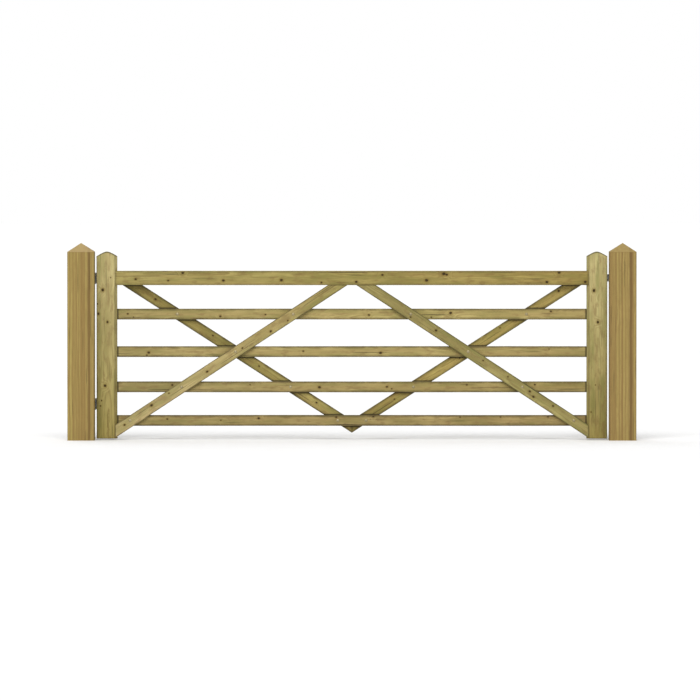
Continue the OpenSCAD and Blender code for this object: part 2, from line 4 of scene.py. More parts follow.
import bpy
import numpy as np
from bpy.props import FloatProperty, FloatVectorProperty, PointerProperty
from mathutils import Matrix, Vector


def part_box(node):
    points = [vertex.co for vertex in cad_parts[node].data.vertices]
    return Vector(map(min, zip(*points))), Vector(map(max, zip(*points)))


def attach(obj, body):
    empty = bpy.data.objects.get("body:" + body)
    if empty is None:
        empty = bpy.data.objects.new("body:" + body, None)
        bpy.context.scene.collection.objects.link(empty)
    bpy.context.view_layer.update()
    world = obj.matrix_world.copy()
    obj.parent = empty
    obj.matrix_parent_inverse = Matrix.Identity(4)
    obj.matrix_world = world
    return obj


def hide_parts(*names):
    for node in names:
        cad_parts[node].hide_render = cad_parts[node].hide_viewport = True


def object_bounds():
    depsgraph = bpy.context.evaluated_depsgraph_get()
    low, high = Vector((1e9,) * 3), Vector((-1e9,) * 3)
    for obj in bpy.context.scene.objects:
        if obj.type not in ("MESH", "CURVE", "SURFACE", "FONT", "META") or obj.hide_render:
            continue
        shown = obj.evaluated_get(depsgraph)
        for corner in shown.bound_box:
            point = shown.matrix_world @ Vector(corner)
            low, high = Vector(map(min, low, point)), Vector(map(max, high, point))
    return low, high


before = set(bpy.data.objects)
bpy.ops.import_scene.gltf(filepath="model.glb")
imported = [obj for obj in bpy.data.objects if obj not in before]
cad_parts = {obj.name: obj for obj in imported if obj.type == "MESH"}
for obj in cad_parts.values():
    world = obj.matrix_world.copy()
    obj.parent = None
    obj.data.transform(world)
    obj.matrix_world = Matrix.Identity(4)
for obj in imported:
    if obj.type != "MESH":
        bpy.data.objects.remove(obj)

bl_info = {
    "name": "Timber Field Gate",
    "version": (1, 0, 0),
    "blender": (4, 5, 0),
    "location": "View3D > Sidebar > Field Gate",
    "description": "Timber, fixings and finishes of a braced field gate between two posts",
    "category": "Add Mesh",
}

CAD_BOX = [list(corner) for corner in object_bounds()]
RIGHT = (1.0, 0.0, 0.0)
UP = (0.0, 0.0, 1.0)
SIDES = (("hanging", -1.0), ("shutting", 1.0))  # the gate's two ends and the sign of their x
LOWER_RAILS = ("upper_rail", "middle_rail", "lower_rail", "bottom_rail")
SHARP_ANGLE = math.radians(38)
ARC_TURNS = np.array([0.0, 15.0, 30.0, 45.0])        # degrees round an eased arris
RIM_STEPS = np.array([0.0012, 0.004, 0.009, 0.018])  # metres from an arris to the lines beside it
RIM_ON_SIDES = 2.0      # how much farther off the arrises count on the narrow sides of a board
SWAY_WAVES = ((2.3, 1.0, 1.0), (5.9, 2.0, 0.5))  # radians in a metre, share of the seed, height
LEAN_WAVES = ((1.7, 3.0, 1.0), (7.3, 1.0, 0.4))
CUP_HEIGHT = 0.8        # of a cupped face, as a share of the movement
CUP_LEVEL = 0.5         # square of the distance across where a cupped face stays level
LATTICE_DIGITS = 7      # decimals by which lattice lines count as one
CORNER_POINTS = 5       # on each eased corner of a path
PEG_POINTS = 32         # round a peg
PEG_EASE = 0.25         # easing of a peg's rim, as a share of a board's
CROWN_REACH = 3         # crown rises over which a stile's end is drawn down
FIRST_SLOPE = 0.65      # of a brace, before it is settled
SLOPE_ROUNDS = 40       # rounds that settle a brace's slope from its box


# ---------------------------------------------------------------------------
# Shapes
# ---------------------------------------------------------------------------

class Board:
    """The straight frame of one timber: its middle, axes (along, across, deep) and half sizes."""

    def __init__(self, low, high, along, across):
        self.middle = (np.array(low) + np.array(high)) / 2
        self.set_axes(along, across)
        self.half = np.abs(self.axes @ ((np.array(high) - np.array(low)) / 2))

    def set_axes(self, along, across):
        self.axes = np.array([along, across, np.cross(along, across)], float)

    def place(self, local):
        """Gate coordinates of points given along, across and deep from the board's middle."""
        return self.middle + local @ self.axes

    def mark(self, x, z):
        """Along and across coordinates of a mark at x and z on the board's face."""
        away = np.array([x, self.middle[1], z]) - self.middle
        return self.axes @ away


def edge_lines(half, arris, pitch, extra=()):
    """Lattice lines on one axis, the same on both sides of zero: pitch apart, then closer and closer
    to the arris, where they lie at tangents of even turns, so that the easing is an even arc."""
    arc = half - arris + arris * np.tan(np.radians(ARC_TURNS))
    rim = half - arris - RIM_STEPS
    rim = rim[rim > min(pitch, half) / 2]
    straight = rim.min()
    count = max(1, int(round(straight / pitch)))
    inner = np.linspace(0, straight, count + 1)
    side = np.unique(np.concatenate([inner, rim, arc, np.abs(extra)]).round(LATTICE_DIGITS))
    return np.concatenate([-side[:0:-1], side])


def lattice_skin(lines):
    """Closed skin of a box lattice: six grids of quads that share the vertices where they meet.
    Returns the lattice positions of the vertices and the quads, which face outwards."""
    shape = [len(line) for line in lines]
    ids = np.arange(np.prod(shape)).reshape(shape)
    sides = [
        (ids[-1], False), (ids[0], True), (ids[:, 0], False),
        (ids[:, -1], True), (ids[:, :, -1], False), (ids[:, :, 0], True),
    ]
    quads = []
    for grid, turned in sides:
        cells = np.stack([grid[:-1, :-1], grid[1:, :-1], grid[1:, 1:], grid[:-1, 1:]], -1).reshape(-1, 4)
        quads.append(cells[:, ::-1] if turned else cells)
    used, faces = np.unique(np.concatenate(quads), return_inverse=True)
    steps = np.unravel_index(used, shape)
    points = np.stack([line[step] for line, step in zip(lines, steps)], 1)
    return points, faces.reshape(-1, 4)


def eased_box(half, arris, pitch, extra=((), (), ())):
    """A box with every arris eased to a radius: each lattice point is drawn back to the core box,
    which is smaller by the radius, and pushed out from there by the radius.
    Returns points, faces, distance to the nearest arris, which counts double on the narrow sides so
    that dirt reaches half as far there, and how far a point faces along the board."""
    half = np.array(half)
    lines = [edge_lines(h, arris, p, e) for h, p, e in zip(half, pitch, extra)]
    flat, faces = lattice_skin(lines)
    core = np.clip(flat, -(half - arris), half - arris)
    away = flat - core
    away /= np.linalg.norm(away, axis=1, keepdims=True)
    points = core + arris * away
    inside = half - np.abs(flat)
    rim = np.sort(inside, axis=1)[:, 1] * np.where(inside[:, 2] > 0, RIM_ON_SIDES, 1.0)
    return points, faces, rim, away[:, 0] ** 2


def gable_drop(across, half, rise, ease):
    """Drop of a crown below its peak: a blunt gable whose ridge is rounded, the square root of the
    squares of the distance across and the ease, less the ease, brought to the rise at the side."""
    return rise * (np.hypot(across, ease) - ease) / (np.hypot(half, ease) - ease)


def waves(along, seed, rows):
    """The sum of slow sine waves, each of its own length, start and height."""
    return sum(height * np.sin(along * often + share * seed) for often, share, height in rows)


def moved_by_drying(points, seed, swing):
    """Timber that has moved a little: the middle line sways across and deep by slow sine waves of
    the distance along, and the faces cup by the square of the distance across."""
    along = points[:, 0]
    half_across = np.abs(points[:, 1]).max()
    cup = (points[:, 1] / half_across) ** 2 - CUP_LEVEL
    moved = points.copy()
    moved[:, 1] += swing * waves(along, seed, SWAY_WAVES)
    moved[:, 2] += swing * (waves(along, seed, LEAN_WAVES) + CUP_HEIGHT * cup)
    return moved


def eased_path(corners, radius, pitch):
    """A line through corners, each eased by a parabola that starts and ends a radius away from it,
    with points pitch apart on the straight runs."""
    corners = np.array(corners, float)
    parts = [corners[:1]]
    start = corners[0]
    turn = np.linspace(0, 1, CORNER_POINTS)[:, None]
    for before, corner, after in zip(corners[:-2], corners[1:-1], corners[2:]):
        back = before - corner
        ahead = after - corner
        enter = corner + back / np.linalg.norm(back) * radius
        leave = corner + ahead / np.linalg.norm(ahead) * radius
        count = max(2, int(np.linalg.norm(enter - start) / pitch) + 1)
        parts.append(np.linspace(start, enter, count)[1:-1])
        parts.append((1 - turn) ** 2 * enter + 2 * turn * (1 - turn) * corner + turn ** 2 * leave)
        start = leave
    count = max(2, int(np.linalg.norm(corners[-1] - start) / pitch) + 1)
    parts.append(np.linspace(start, corners[-1], count)[1:])
    return np.concatenate(parts)


def carried_round(loop, path):
    """A closed solid: a loop is carried along a path, scaled by the path's first number and lifted by
    its second. The path starts and ends on the axis, where the solid closes in a pole.
    Returns points as (lift, loop x, loop y) and triangles and quads that face outwards."""
    rings = path[1:-1]
    around = len(loop)
    body = np.concatenate([
        np.repeat(rings[:, 1], around)[:, None],
        (rings[:, None, :1] * loop[None]).reshape(-1, 2),
    ], 1)
    poles = np.array([[path[0, 1], 0, 0], [path[-1, 1], 0, 0]])
    ids = np.arange(len(rings) * around).reshape(len(rings), around)
    nxt = np.roll(ids, -1, axis=1)
    quads = np.stack([ids[:-1], nxt[:-1], nxt[1:], ids[1:]], -1).reshape(-1, 4)
    first = len(body)
    foot = np.stack([nxt[0], ids[0], np.full(around, first)], -1)
    head = np.stack([ids[-1], nxt[-1], np.full(around, first + 1)], -1)
    return np.concatenate([body, poles]), quads.tolist() + foot.tolist() + head.tolist()


def square_loop(half, arris, pitch):
    """Outline of a square with eased corners, anticlockwise, drawn as a box's outline is."""
    line = edge_lines(half, arris, pitch)
    run = line[:-1]
    side = np.full(len(run), half)
    flat = np.concatenate([
        np.stack([run, -side], 1), np.stack([side, run], 1),
        np.stack([-run, side], 1), np.stack([-side, -run], 1),
    ])
    core = np.clip(flat, -(half - arris), half - arris)
    away = flat - core
    return core + arris * away / np.linalg.norm(away, axis=1, keepdims=True), flat


def circle_loop(count):
    """Outline of a circle with a radius of one, anticlockwise."""
    turn = np.linspace(0, 2 * math.pi, count, endpoint=False)
    return np.stack([np.cos(turn), np.sin(turn)], 1)


def add_mesh(name, points, faces, **attributes):
    """Makes a smooth mesh object at the origin, with its sharp edges marked and its attributes."""
    mesh = bpy.data.meshes.new(name)
    faces = faces if isinstance(faces, list) else faces.tolist()
    mesh.from_pydata(np.asarray(points).tolist(), [], faces)
    mesh.update()
    for key, values in attributes.items():
        values = np.asarray(values, np.float32)
        vector = values.ndim > 1
        layer = mesh.attributes.new(key, "FLOAT_VECTOR" if vector else "FLOAT", "POINT")
        layer.data.foreach_set("vector" if vector else "value", values.ravel())
    mesh.shade_smooth()
    mesh.set_sharp_from_angle(angle=SHARP_ANGLE)
    piece = bpy.data.objects.new(name, mesh)
    bpy.context.scene.collection.objects.link(piece)
    return piece


def finish_piece(piece, material, body, slot, *nodes):
    """Gives a piece its material, parents it to the empty of the body that it rides on, and hides the
    nodes that it stands for.
    """
    piece.data.materials.append(material)
    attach(piece, body)
    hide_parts(*nodes)
    return piece


# ---------------------------------------------------------------------------
# Node trees
# ---------------------------------------------------------------------------

MIX_SOCKETS = (0, 6, 7)  # a Mix node's factor and its two colours
MIX_RESULT = 2           # and its mixed colour


class Net:
    """A node tree being filled. Each call adds one node with its inputs and gives an output."""

    def __init__(self, tree):
        self.tree = tree

    def node(self, kind, inputs, **settings):
        made = self.tree.nodes.new(kind)
        for key, value in settings.items():
            setattr(made, key, value)
        for key, value in inputs.items():
            if isinstance(value, bpy.types.NodeSocket):
                self.tree.links.new(value, made.inputs[key])
            else:
                made.inputs[key].default_value = value
        return made

    def place(self, group, inputs):
        return self.node("ShaderNodeGroup", inputs, node_tree=group).outputs

    def math(self, operation, *terms):
        return self.node("ShaderNodeMath", dict(enumerate(terms)), operation=operation).outputs[0]

    def times(self, first, second):
        return self.math("MULTIPLY", first, second)

    def line(self, value, slope, start):
        """A straight line: the value times the slope, plus the start."""
        return self.math("MULTIPLY_ADD", value, slope, start)

    def vector(self, operation, *terms):
        made = self.node("ShaderNodeVectorMath", dict(enumerate(terms)), operation=operation)
        return made.outputs["Value" if operation == "LENGTH" else "Vector"]

    def scaled(self, vector, factor):
        inputs = {0: vector, "Scale": factor}
        return self.node("ShaderNodeVectorMath", inputs, operation="SCALE").outputs[0]

    def mix(self, factor, first, second):
        """The first colour, turning into the second as the factor goes from 0 to 1."""
        inputs = dict(zip(MIX_SOCKETS, (factor, first, second)))
        return self.node("ShaderNodeMix", inputs, data_type="RGBA").outputs[MIX_RESULT]

    def step(self, value, low, high, to_low=0.0, to_high=1.0):
        """A smooth step from one result to the other as the value goes from low to high."""
        inputs = {"Value": value, "From Min": low, "From Max": high, "To Min": to_low, "To Max": to_high}
        return self.node("ShaderNodeMapRange", inputs, interpolation_type="SMOOTHSTEP").outputs[0]

    def noise(self, vector, scale, detail, roughness, output="Fac"):
        inputs = {"Vector": vector, "Scale": scale, "Detail": detail, "Roughness": roughness}
        return self.node("ShaderNodeTexNoise", inputs).outputs[output]


def new_group(name, inputs, outputs):
    """An empty node group with named sockets. Returns its net, its inputs and its output node."""
    tree = bpy.data.node_groups.new(name, "ShaderNodeTree")
    for key, kind in inputs.items():
        tree.interface.new_socket(name=key, in_out="INPUT", socket_type="NodeSocket" + kind)
    for key, kind in outputs.items():
        tree.interface.new_socket(name=key, in_out="OUTPUT", socket_type="NodeSocket" + kind)
    net = Net(tree)
    enter = tree.nodes.new("NodeGroupInput").outputs
    leave = tree.nodes.new("NodeGroupOutput")
    return net, enter, leave


def close_group(net, leave, results):
    """Links the results to the group's outputs and returns the group."""
    for key, value in results.items():
        net.tree.links.new(value, leave.inputs[key])
    return net.tree


# Noise is written as its scale, detail and roughness. A fade is the value where a mask is 0 and the
# value where it is 1, and may go on with two results in place of 0 and 1.
NOISE_MIDDLE = 0.5
SURFACE = {"Color": "Color", "Roughness": "Float", "Height": "Float"}  # what a finish puts out

KNOT_OVAL = (0.82, 1.0, 0.0)  # knots are longer along the board, and go right through it
KNOT_RAGGED_NOISE = (170.0, 3.0, 0.6)
KNOT_RAGGED = 0.9             # how far its outline strays, in knot radii
HEART_FADE = (1.25, 0.75)     # in knot radii, as the next two are
HALO_FADE = (3.6, 0.6)
PUSH_FADE = (5.5, 0.0)
HALO_FALL = 2.2               # power that makes the halo fall off fast


def knot_group():
    """One knot of a board, drawn from the distance to its middle over its radius: a dark heart,
    a warm halo, and a push that bends the growth rings round it. The inputs chain knots together."""
    net, enter, leave = new_group(
        "Timber Knot",
        {"Board": "Vector", "Middle": "Vector", "Radius": "Float", "Heart": "Float",
         "Halo": "Float", "Push": "Float"},
        {"Heart": "Float", "Halo": "Float", "Push": "Float"},
    )
    away = net.vector("SUBTRACT", enter["Board"], enter["Middle"])
    oval = net.vector("MULTIPLY", away, KNOT_OVAL)
    ragged = net.math("SUBTRACT", net.noise(enter["Board"], *KNOT_RAGGED_NOISE), NOISE_MIDDLE)
    span = net.math("DIVIDE", net.vector("LENGTH", oval), enter["Radius"])
    span = net.line(ragged, KNOT_RAGGED, span)
    halo = net.math("POWER", net.step(span, *HALO_FADE), HALO_FALL)
    return close_group(net, leave, {
        "Heart": net.math("MAXIMUM", enter["Heart"], net.step(span, *HEART_FADE)),
        "Halo": net.math("MAXIMUM", enter["Halo"], halo),
        "Push": net.math("ADD", enter["Push"], net.step(span, *PUSH_FADE)),
    })


# Noise drawn out along a board: its scales along, across and deep, its detail and its roughness
WANDER_NOISE = ((1.3, 4.0, 4.0), 2.0, 0.5)
RIPPLE_NOISE = ((7.0, 70.0, 70.0), 3.0, 0.5)
FIBRE_NOISE = ((9.0, 520.0, 520.0), 3.0, 0.65)
CLOUD_NOISE = ((3.1, 13.0, 13.0), 3.0, 0.6)
PATCH_NOISE = ((13.0, 38.0, 38.0), 3.0, 0.6)
CHECK_NOISE = ((2.4, 150.0, 150.0), 1.0, 0.4)
STREAK_GRAIN = (2.0, 0.55)  # detail and roughness only, as each board has its own scales
RIPPLE = 0.5                # unevenness of a growth ring, in rings
KNOT_TURNS = 2.2            # rings that a knot pushes aside
LATE_RISE = (0.3, 0.9)      # shares of a ring over which late wood darkens
LATE_STOP = (1.0, 0.94)     # and over which it ends
CHECK_FADE = (0.693, 0.735)
FIGURE_MASKS = ("Late Wood", "Ring Tone", "Fibre", "Streak", "Cloud", "Patch", "Check")


def figure_group():
    """The figure of sawn softwood. Growth rings are steps of the distance from a pith line that wanders
    along the board; fibres, streaks, clouds, patches and drying checks are noise drawn out along it."""
    net, enter, leave = new_group(
        "Timber Figure",
        {"Board": "Vector", "Seed": "Float", "Pith": "Vector", "Ring Width": "Float", "Wander": "Float",
         "Push": "Float", "Streak Pitch": "Vector"},
        dict.fromkeys(FIGURE_MASKS, "Float"),
    )
    seed = enter["Seed"]
    apart = net.node("ShaderNodeCombineXYZ", {0: seed, 1: seed, 2: seed}).outputs[0]

    def drawn(scales, detail, roughness, output="Fac"):
        """Noise of the board's coordinates times the scales, shifted by the seed."""
        place = net.vector("MULTIPLY_ADD", enter["Board"], scales, apart)
        return net.noise(place, 1.0, detail, roughness, output)

    wander = net.vector("SUBTRACT", drawn(*WANDER_NOISE, "Color"), (NOISE_MIDDLE,) * 3)
    wander = net.scaled(wander, enter["Wander"])
    cross = net.vector("ADD", net.vector("SUBTRACT", enter["Board"], enter["Pith"]), wander)
    cross = net.vector("MULTIPLY", cross, (0.0, 1.0, 1.0))
    turns = net.math("DIVIDE", net.vector("LENGTH", cross), enter["Ring Width"])
    ripple = net.math("SUBTRACT", drawn(*RIPPLE_NOISE), NOISE_MIDDLE)
    turns = net.line(ripple, RIPPLE, turns)
    turns = net.line(enter["Push"], KNOT_TURNS, turns)
    part = net.math("FRACT", turns)
    year = net.math("FLOOR", turns)
    return close_group(net, leave, {
        "Late Wood": net.times(net.step(part, *LATE_RISE), net.step(part, *LATE_STOP)),
        "Ring Tone": net.node("ShaderNodeTexWhiteNoise", {"W": year}, noise_dimensions="1D").outputs[0],
        "Fibre": drawn(*FIBRE_NOISE),
        "Streak": drawn(enter["Streak Pitch"], *STREAK_GRAIN),
        "Cloud": drawn(*CLOUD_NOISE),
        "Patch": drawn(*PATCH_NOISE),
        "Check": net.step(drawn(*CHECK_NOISE), *CHECK_FADE),
    })


RING_TONE = (0.5, 0.35)           # how much a ring's darkness varies, and its least
DRIFT_FADE = (0.36, 0.64)
STREAK_FADE = (0.42, 0.66)
PATCH_FADE = (0.50, 0.68)
FIBRE_FADE = (0.25, 0.75, 0.86, 1.14)
HEARTWOOD_BEND = 0.016            # metres that a stripe of heartwood strays
HEARTWOOD_FADE = (1.0, 0.2)       # in widths of the stripe
HEARTWOOD_AMOUNT = 0.85
HALO_AMOUNT = 0.72
SPLIT_NOISE = (330.0, 3.0, 0.6)   # lighter splits in a knot's heart
SPLIT_FADE = (0.48, 0.68)
SPLIT_AMOUNT = 0.28
HEART_AMOUNT = 0.96
RIM_STRETCH = (0.35, 1.0, 1.0)    # patchy painted shade beside the arrises
RIM_NOISE = (42.0, 3.0, 0.6)
RIM_REACH = (1.0, 0.5)
RIM_FADE = (1.0, 0.0)             # in reaches from the arris
RIM_PATCHY = (0.2, 0.6, 0.5, 1.0)
CORNER_FADE = (1.3, 0.3)          # in widths from where a board enters another
CORNER_AMOUNT = 0.92
TIP_FADE = (1.0, 0.4)             # in widths from a stile's top
TIP_AMOUNT = 0.75
CHECK_AMOUNT = 0.8
TIMBER_ROUGHNESS = (0.14, 0.70)
RING_RELIEF = 0.5
FIBRE_RELIEF = 0.5
HEART_RELIEF = 0.5
CHECK_RELIEF = 1.5
FINISH_FLOATS = (
    *FIGURE_MASKS, "Heart", "Halo", "Rim", "Drift Amount", "Streak Amount", "Patch Amount",
    "Rim Width", "Rim Amount", "End", "End Amount", "Middle Lift", "Reach", "Heartwood Place",
    "Heartwood Width", "Corner", "Corner Width", "Joint", "Tip", "Tip Width",
)
FINISH_COLORS = (
    "Pale", "Late", "Drift", "Streak Tone", "Patch Tone", "Halo Tone", "Heart Tone", "Rim Tone",
    "End Tone", "Foot Tint", "Head Tint", "Heartwood", "Corner Tone",
)


def finish_group():
    """Treated timber's colour from its figure and knots: pale early wood, darker late wood, olive and
    tan drifts, brown patches, warm halos and dark hearts at knots, painted shade beside the arrises,
    along a stile's top, in corners and beside crossing rails, dull end grain and drying checks. A tint
    runs from the foot to the head of the board."""
    inputs = {"Board": "Vector", **dict.fromkeys(FINISH_FLOATS, "Float")}
    inputs.update(dict.fromkeys(FINISH_COLORS, "Color"))
    net, enter, leave = new_group("Treated Timber", inputs, SURFACE)

    def laid(color, mask, amount, tone):
        """A tone laid over a colour by a mask times an amount."""
        return net.mix(net.times(mask, amount), color, tone)

    def laid_by(color, mask, fade, name, tone):
        """The same, by a faded mask of the figure and the amount that carries the name."""
        return laid(color, net.step(enter[mask], *fade), enter[name + " Amount"], enter[tone])

    ring = net.times(enter["Late Wood"], net.line(enter["Ring Tone"], *RING_TONE))
    color = net.mix(ring, enter["Pale"], enter["Late"])
    color = laid_by(color, "Cloud", DRIFT_FADE, "Drift", "Drift")
    color = laid_by(color, "Streak", STREAK_FADE, "Streak", "Streak Tone")
    color = laid_by(color, "Patch", PATCH_FADE, "Patch", "Patch Tone")
    color = net.scaled(color, net.step(enter["Fibre"], *FIBRE_FADE))

    apart = net.node("ShaderNodeSeparateXYZ", {0: enter["Board"]}).outputs
    bent = net.line(net.math("SUBTRACT", enter["Cloud"], NOISE_MIDDLE), HEARTWOOD_BEND, apart[1])
    beside = net.math("ABSOLUTE", net.math("SUBTRACT", bent, enter["Heartwood Place"]))
    core = net.step(net.math("DIVIDE", beside, enter["Heartwood Width"]), *HEARTWOOD_FADE)
    color = laid(color, core, HEARTWOOD_AMOUNT, enter["Heartwood"])

    where = net.math("DIVIDE", apart[0], enter["Reach"])  # from -1 at the foot to 1 at the head
    share = net.line(where, 0.5, 0.5)
    color = net.vector("MULTIPLY", color, net.mix(share, enter["Foot Tint"], enter["Head Tint"]))
    central = net.math("SUBTRACT", 1.0, net.times(where, where))
    color = net.scaled(color, net.line(central, enter["Middle Lift"], 1.0))

    color = laid(color, enter["Halo"], HALO_AMOUNT, enter["Halo Tone"])
    split = net.step(net.noise(enter["Board"], *SPLIT_NOISE), *SPLIT_FADE)
    heart = laid(enter["Heart Tone"], split, SPLIT_AMOUNT, enter["Halo Tone"])
    color = laid(color, enter["Heart"], HEART_AMOUNT, heart)

    # Painted shade: a patchy dark line beside every arris, standing in for the shade of the eased edges
    patchy = net.noise(net.vector("MULTIPLY", enter["Board"], RIM_STRETCH), *RIM_NOISE)
    reach = net.times(enter["Rim Width"], net.line(patchy, *RIM_REACH))
    near = net.step(net.math("DIVIDE", enter["Rim"], reach), *RIM_FADE)
    amount = net.times(enter["Rim Amount"], net.step(patchy, *RIM_PATCHY))
    color = laid(color, near, amount, enter["Rim Tone"])

    # Painted shade: dark where a rail enters a stile and, through Joint, beside the rails that cross a
    # rear brace
    inward = net.math("SUBTRACT", enter["Corner"], net.math("ABSOLUTE", apart[0]))
    tucked = net.step(net.math("DIVIDE", inward, enter["Corner Width"]), *CORNER_FADE)
    tucked = net.math("MAXIMUM", tucked, enter["Joint"])
    color = laid(color, tucked, CORNER_AMOUNT, enter["Corner Tone"])
    # Painted shade: a dark band along a stile's top, in the arris shade tone
    tip = net.step(net.math("DIVIDE", enter["Tip"], enter["Tip Width"]), *TIP_FADE)
    color = laid(color, tip, TIP_AMOUNT, enter["Rim Tone"])
    color = laid(color, enter["End"], enter["End Amount"], enter["End Tone"])
    check = net.times(enter["Check"], net.math("SUBTRACT", 1.0, enter["End"]))
    color = laid(color, check, CHECK_AMOUNT, enter["Corner Tone"])

    height = net.math("ADD", net.times(ring, RING_RELIEF), net.times(enter["Fibre"], FIBRE_RELIEF))
    height = net.math("SUBTRACT", height, net.times(enter["Heart"], HEART_RELIEF))
    height = net.math("SUBTRACT", height, net.times(check, CHECK_RELIEF))
    rough = net.line(enter["Fibre"], *TIMBER_ROUGHNESS)
    return close_group(net, leave, {"Color": color, "Roughness": rough, "Height": height})


JOINT_FADE = (1.0, 0.3)  # in widths from the crossing board's edge


def joint_group():
    """Painted shade where another board crosses in front: dark at the crossing board's edge and fading
    within the width, from the height above the ground. The input chains several edges together."""
    net, enter, leave = new_group(
        "Joint Dirt", dict.fromkeys(("Height", "Edge", "Width", "Joint"), "Float"), {"Joint": "Float"})
    beside = net.math("ABSOLUTE", net.math("SUBTRACT", enter["Height"], enter["Edge"]))
    near = net.step(net.math("DIVIDE", beside, enter["Width"]), *JOINT_FADE)
    return close_group(net, leave, {"Joint": net.math("MAXIMUM", enter["Joint"], near)})


CRYSTAL_NOISE = (60.0, 2.0, 0.5)  # bends the crystals' edges
CRYSTAL_BEND = 0.006              # by up to this many metres
CLOUD_ON_ZINC = (38.0, 4.0, 0.62)
SPECK_NOISE = (420.0, 3.0, 0.6)
WEATHER_FADE = (0.38, 0.66)
SPECK_FADE = (0.3, 0.7, 0.93, 1.05)
CRYSTAL_TONE = (0.16, 0.90)
CRYSTAL_ROUGHNESS = (0.12, 0.44)
DULL_ROUGHNESS = 0.20
SPECK_RELIEF = 0.6
CLOUD_RELIEF = 0.4


def zinc_group():
    """Hot-dip zinc: flat crystals of slightly different greys, dull clouds where it has weathered,
    and a fine speckle, from cells and noise in object coordinates."""
    net, enter, leave = new_group(
        "Zinc Skin",
        {"Place": "Vector", "Crystal Size": "Float", "Weathering": "Float", "Bright": "Color",
         "Dull": "Color"},
        SURFACE,
    )
    place = enter["Place"]
    often = net.math("DIVIDE", 1.0, enter["Crystal Size"])
    bend = net.scaled(net.noise(place, *CRYSTAL_NOISE, "Color"), CRYSTAL_BEND)
    bent = net.vector("ADD", place, bend)
    cells = net.node("ShaderNodeTexVoronoi", {"Vector": bent, "Scale": often}).outputs["Color"]
    crystal = net.node("ShaderNodeSeparateColor", {0: cells}).outputs[0]
    cloud = net.noise(place, *CLOUD_ON_ZINC)
    speck = net.noise(place, *SPECK_NOISE)
    dull = net.times(net.step(cloud, *WEATHER_FADE), enter["Weathering"])
    color = net.mix(dull, enter["Bright"], enter["Dull"])
    color = net.scaled(color, net.line(crystal, *CRYSTAL_TONE))
    color = net.scaled(color, net.step(speck, *SPECK_FADE))
    rough = net.line(dull, DULL_ROUGHNESS, net.line(crystal, *CRYSTAL_ROUGHNESS))
    height = net.line(speck, SPECK_RELIEF, net.times(cloud, CLOUD_RELIEF))
    return close_group(net, leave, {"Color": color, "Roughness": rough, "Height": height})


GROUP_MAKERS = {
    "Timber Knot": knot_group,
    "Timber Figure": figure_group,
    "Treated Timber": finish_group,
    "Joint Dirt": joint_group,
    "Zinc Skin": zinc_group,
}


def shared_group(name):
    """The node group of that name, made the first time that it is asked for."""
    if name not in bpy.data.node_groups:
        GROUP_MAKERS[name]()
    return bpy.data.node_groups[name]


def new_material(name):
    """A material with only a Principled BSDF and its output. Returns the material, its net and
    the shader."""
    material = bpy.data.materials.new(name)
    material.use_nodes = True
    shader = material.node_tree.nodes["Principled BSDF"]
    return material, Net(material.node_tree), shader


def wire_surface(net, shader, results, depth):
    """Links a finish to the shader, with its height through a Bump node whose depth is in metres."""
    net.tree.links.new(results["Color"], shader.inputs["Base Color"])
    net.tree.links.new(results["Roughness"], shader.inputs["Roughness"])
    bump = net.node("ShaderNodeBump", {"Height": results["Height"], "Distance": depth, "Strength": 1.0})
    net.tree.links.new(bump.outputs[0], shader.inputs["Normal"])


# ---------------------------------------------------------------------------
# Timbers and their materials
# ---------------------------------------------------------------------------

STREAK_PITCH = (0.9, 34.0, 34.0)  # scale of the streaks along, across and deep
POST_STREAK_PITCH = (0.16, 38.0, 38.0)
STILE_FOOT = (0.77, 0.76, 0.60)
STILE_HEAD = (1.39, 1.49, 1.86)
